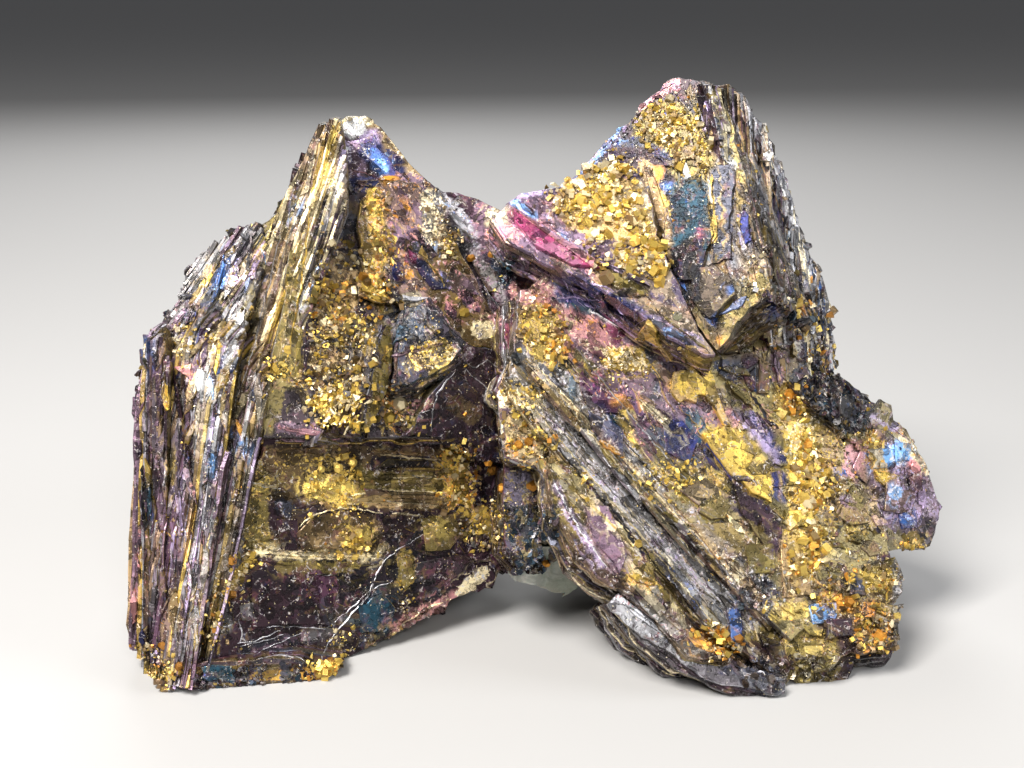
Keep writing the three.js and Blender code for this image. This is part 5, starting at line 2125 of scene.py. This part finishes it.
def corner_colours(heap, mesh):
    normals = np.empty(len(mesh.polygons) * 3)
    mesh.polygons.foreach_get("normal", normals)
    normals = normals.reshape(-1, 3)
    sides = np.array([normals @ -np.array(elevation.into) * favour for elevation, favour in PAINTED])
    side = sides.argmax(axis=0)
    counts = np.array([len(face) for face in heap.faces])
    at = np.fromiter((i for face in heap.faces for i in face), dtype=int)
    side = np.repeat(side, counts)
    hold = np.repeat(np.array(heap.hold), counts)[:, None]
    own = np.repeat(np.array(heap.colour), counts, axis=0)
    spots = np.array(heap.points)
    found = [np.zeros((len(at), 3)), np.zeros((len(at), 3)), np.zeros(len(at)),
             np.zeros((len(at), 3)), np.zeros(len(at))]
    for number, (elevation, _) in enumerate(PAINTED):
        chosen = side == number
        used, back = np.unique(at[chosen], return_inverse=True)
        if len(used):
            for values, here in zip(found, painted(elevation, spots[used])):
                values[chosen] = here[back]
    under, over, cover, flecks, share = found
    under = under * (1 - hold) + own * hold
    over = over * (1 - hold) + own * hold
    share = share * (1 - 0.75 * hold[:, 0])
    return {"under": np.hstack([under, (hold > RIM_HOLD).astype(float)]),
            "over": np.hstack([over, cover[:, None]]),
            "flecks": np.hstack([flecks, share[:, None]])}


total = 0
for heap in heaps.values():
    mesh = bpy.data.meshes.new(heap.name)
    mesh.from_pydata([p * MM for p in heap.points], [], heap.faces)
    for name, values in corner_colours(heap, mesh).items():
        mesh.color_attributes.new(name, "FLOAT_COLOR", "CORNER").data.foreach_set("color", values.ravel())
    mesh.attributes.new("lie", "FLOAT_VECTOR", "POINT").data.foreach_set(
        "vector", np.array(heap.lie, dtype=float).ravel())
    mesh.materials.append(FINISHES[heap.finish])
    thing = bpy.data.objects.new(heap.name, mesh)
    bpy.context.scene.collection.objects.link(thing)
    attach(thing, "root")
    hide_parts("covellite")
    total += heap.triangles()
    reach = [round(p.y) for p in heap.points]
    print(heap.name, heap.triangles(), "triangles, from front to back", min(reach), max(reach))
print("all", total, "triangles")

# %% [markdown]
# The group stands on a plain pale floor under soft light from above and a little to the left.
# The light from all round stays weak, so the dark faces mirror darkness and the plates' edges
# and the pyrite shine, as a collector lights a metallic mineral.

# %% Floor, light and camera
FLOOR_HALF = 12.0
LIT_PLACE = Vector((0, 0, 0.04))
floor_corners = [(x * FLOOR_HALF, y * FLOOR_HALF, 0) for x, y in ((-1, -1), (1, -1), (1, 1), (-1, 1))]
floor_mesh = bpy.data.meshes.new("floor")
floor_mesh.from_pydata(floor_corners, [], [(0, 1, 2, 3)])
floor = bpy.data.objects.new("floor", floor_mesh)
bpy.context.scene.collection.objects.link(floor)
pale = bpy.data.materials.new("pale_floor")
pale.use_nodes = True
pale.node_tree.nodes["Principled BSDF"].inputs["Base Color"].default_value = (0.42, 0.415, 0.41, 1)
pale.node_tree.nodes["Principled BSDF"].inputs["Roughness"].default_value = 0.7
floor_mesh.materials.append(pale)

world = bpy.data.worlds.new("studio")
world.use_nodes = True
world.node_tree.nodes["Background"].inputs[0].default_value = (0.62, 0.63, 0.66, 1)
world.node_tree.nodes["Background"].inputs[1].default_value = 0.2
bpy.context.scene.world = world


def softbox(name, place, size, watts, colour=(1, 1, 1)):
    """A square lamp that faces the group. Its place and size are in metres."""
    lamp = bpy.data.lights.new(name, "AREA")
    lamp.size = size
    lamp.energy = watts
    lamp.color = colour
    holder = bpy.data.objects.new(name, lamp)
    holder.location = place
    holder.rotation_euler = (LIT_PLACE - Vector(place)).to_track_quat("-Z", "Y").to_euler()
    bpy.context.scene.collection.objects.link(holder)


softbox("key", (-0.22, -0.28, 0.50), 0.26, 7.2, (1, 0.97, 0.93))
softbox("front", (0.12, -0.60, 0.38), 0.20, 1.8)
softbox("right", (0.55, -0.12, 0.35), 0.30, 1.9, (0.94, 0.97, 1))
softbox("behind", (-0.1, 0.6, 0.5), 0.40, 3)

lens = bpy.data.cameras.new("camera")
lens.lens = 50
lens.clip_start = 0.01
camera = bpy.data.objects.new("camera", lens)
camera.location = FRONT.station * MM
camera.rotation_euler = FRONT.into.to_track_quat("-Z", "Y").to_euler()
bpy.context.scene.collection.objects.link(camera)
bpy.context.scene.camera = camera
bpy.context.scene.view_settings.view_transform = "Standard"
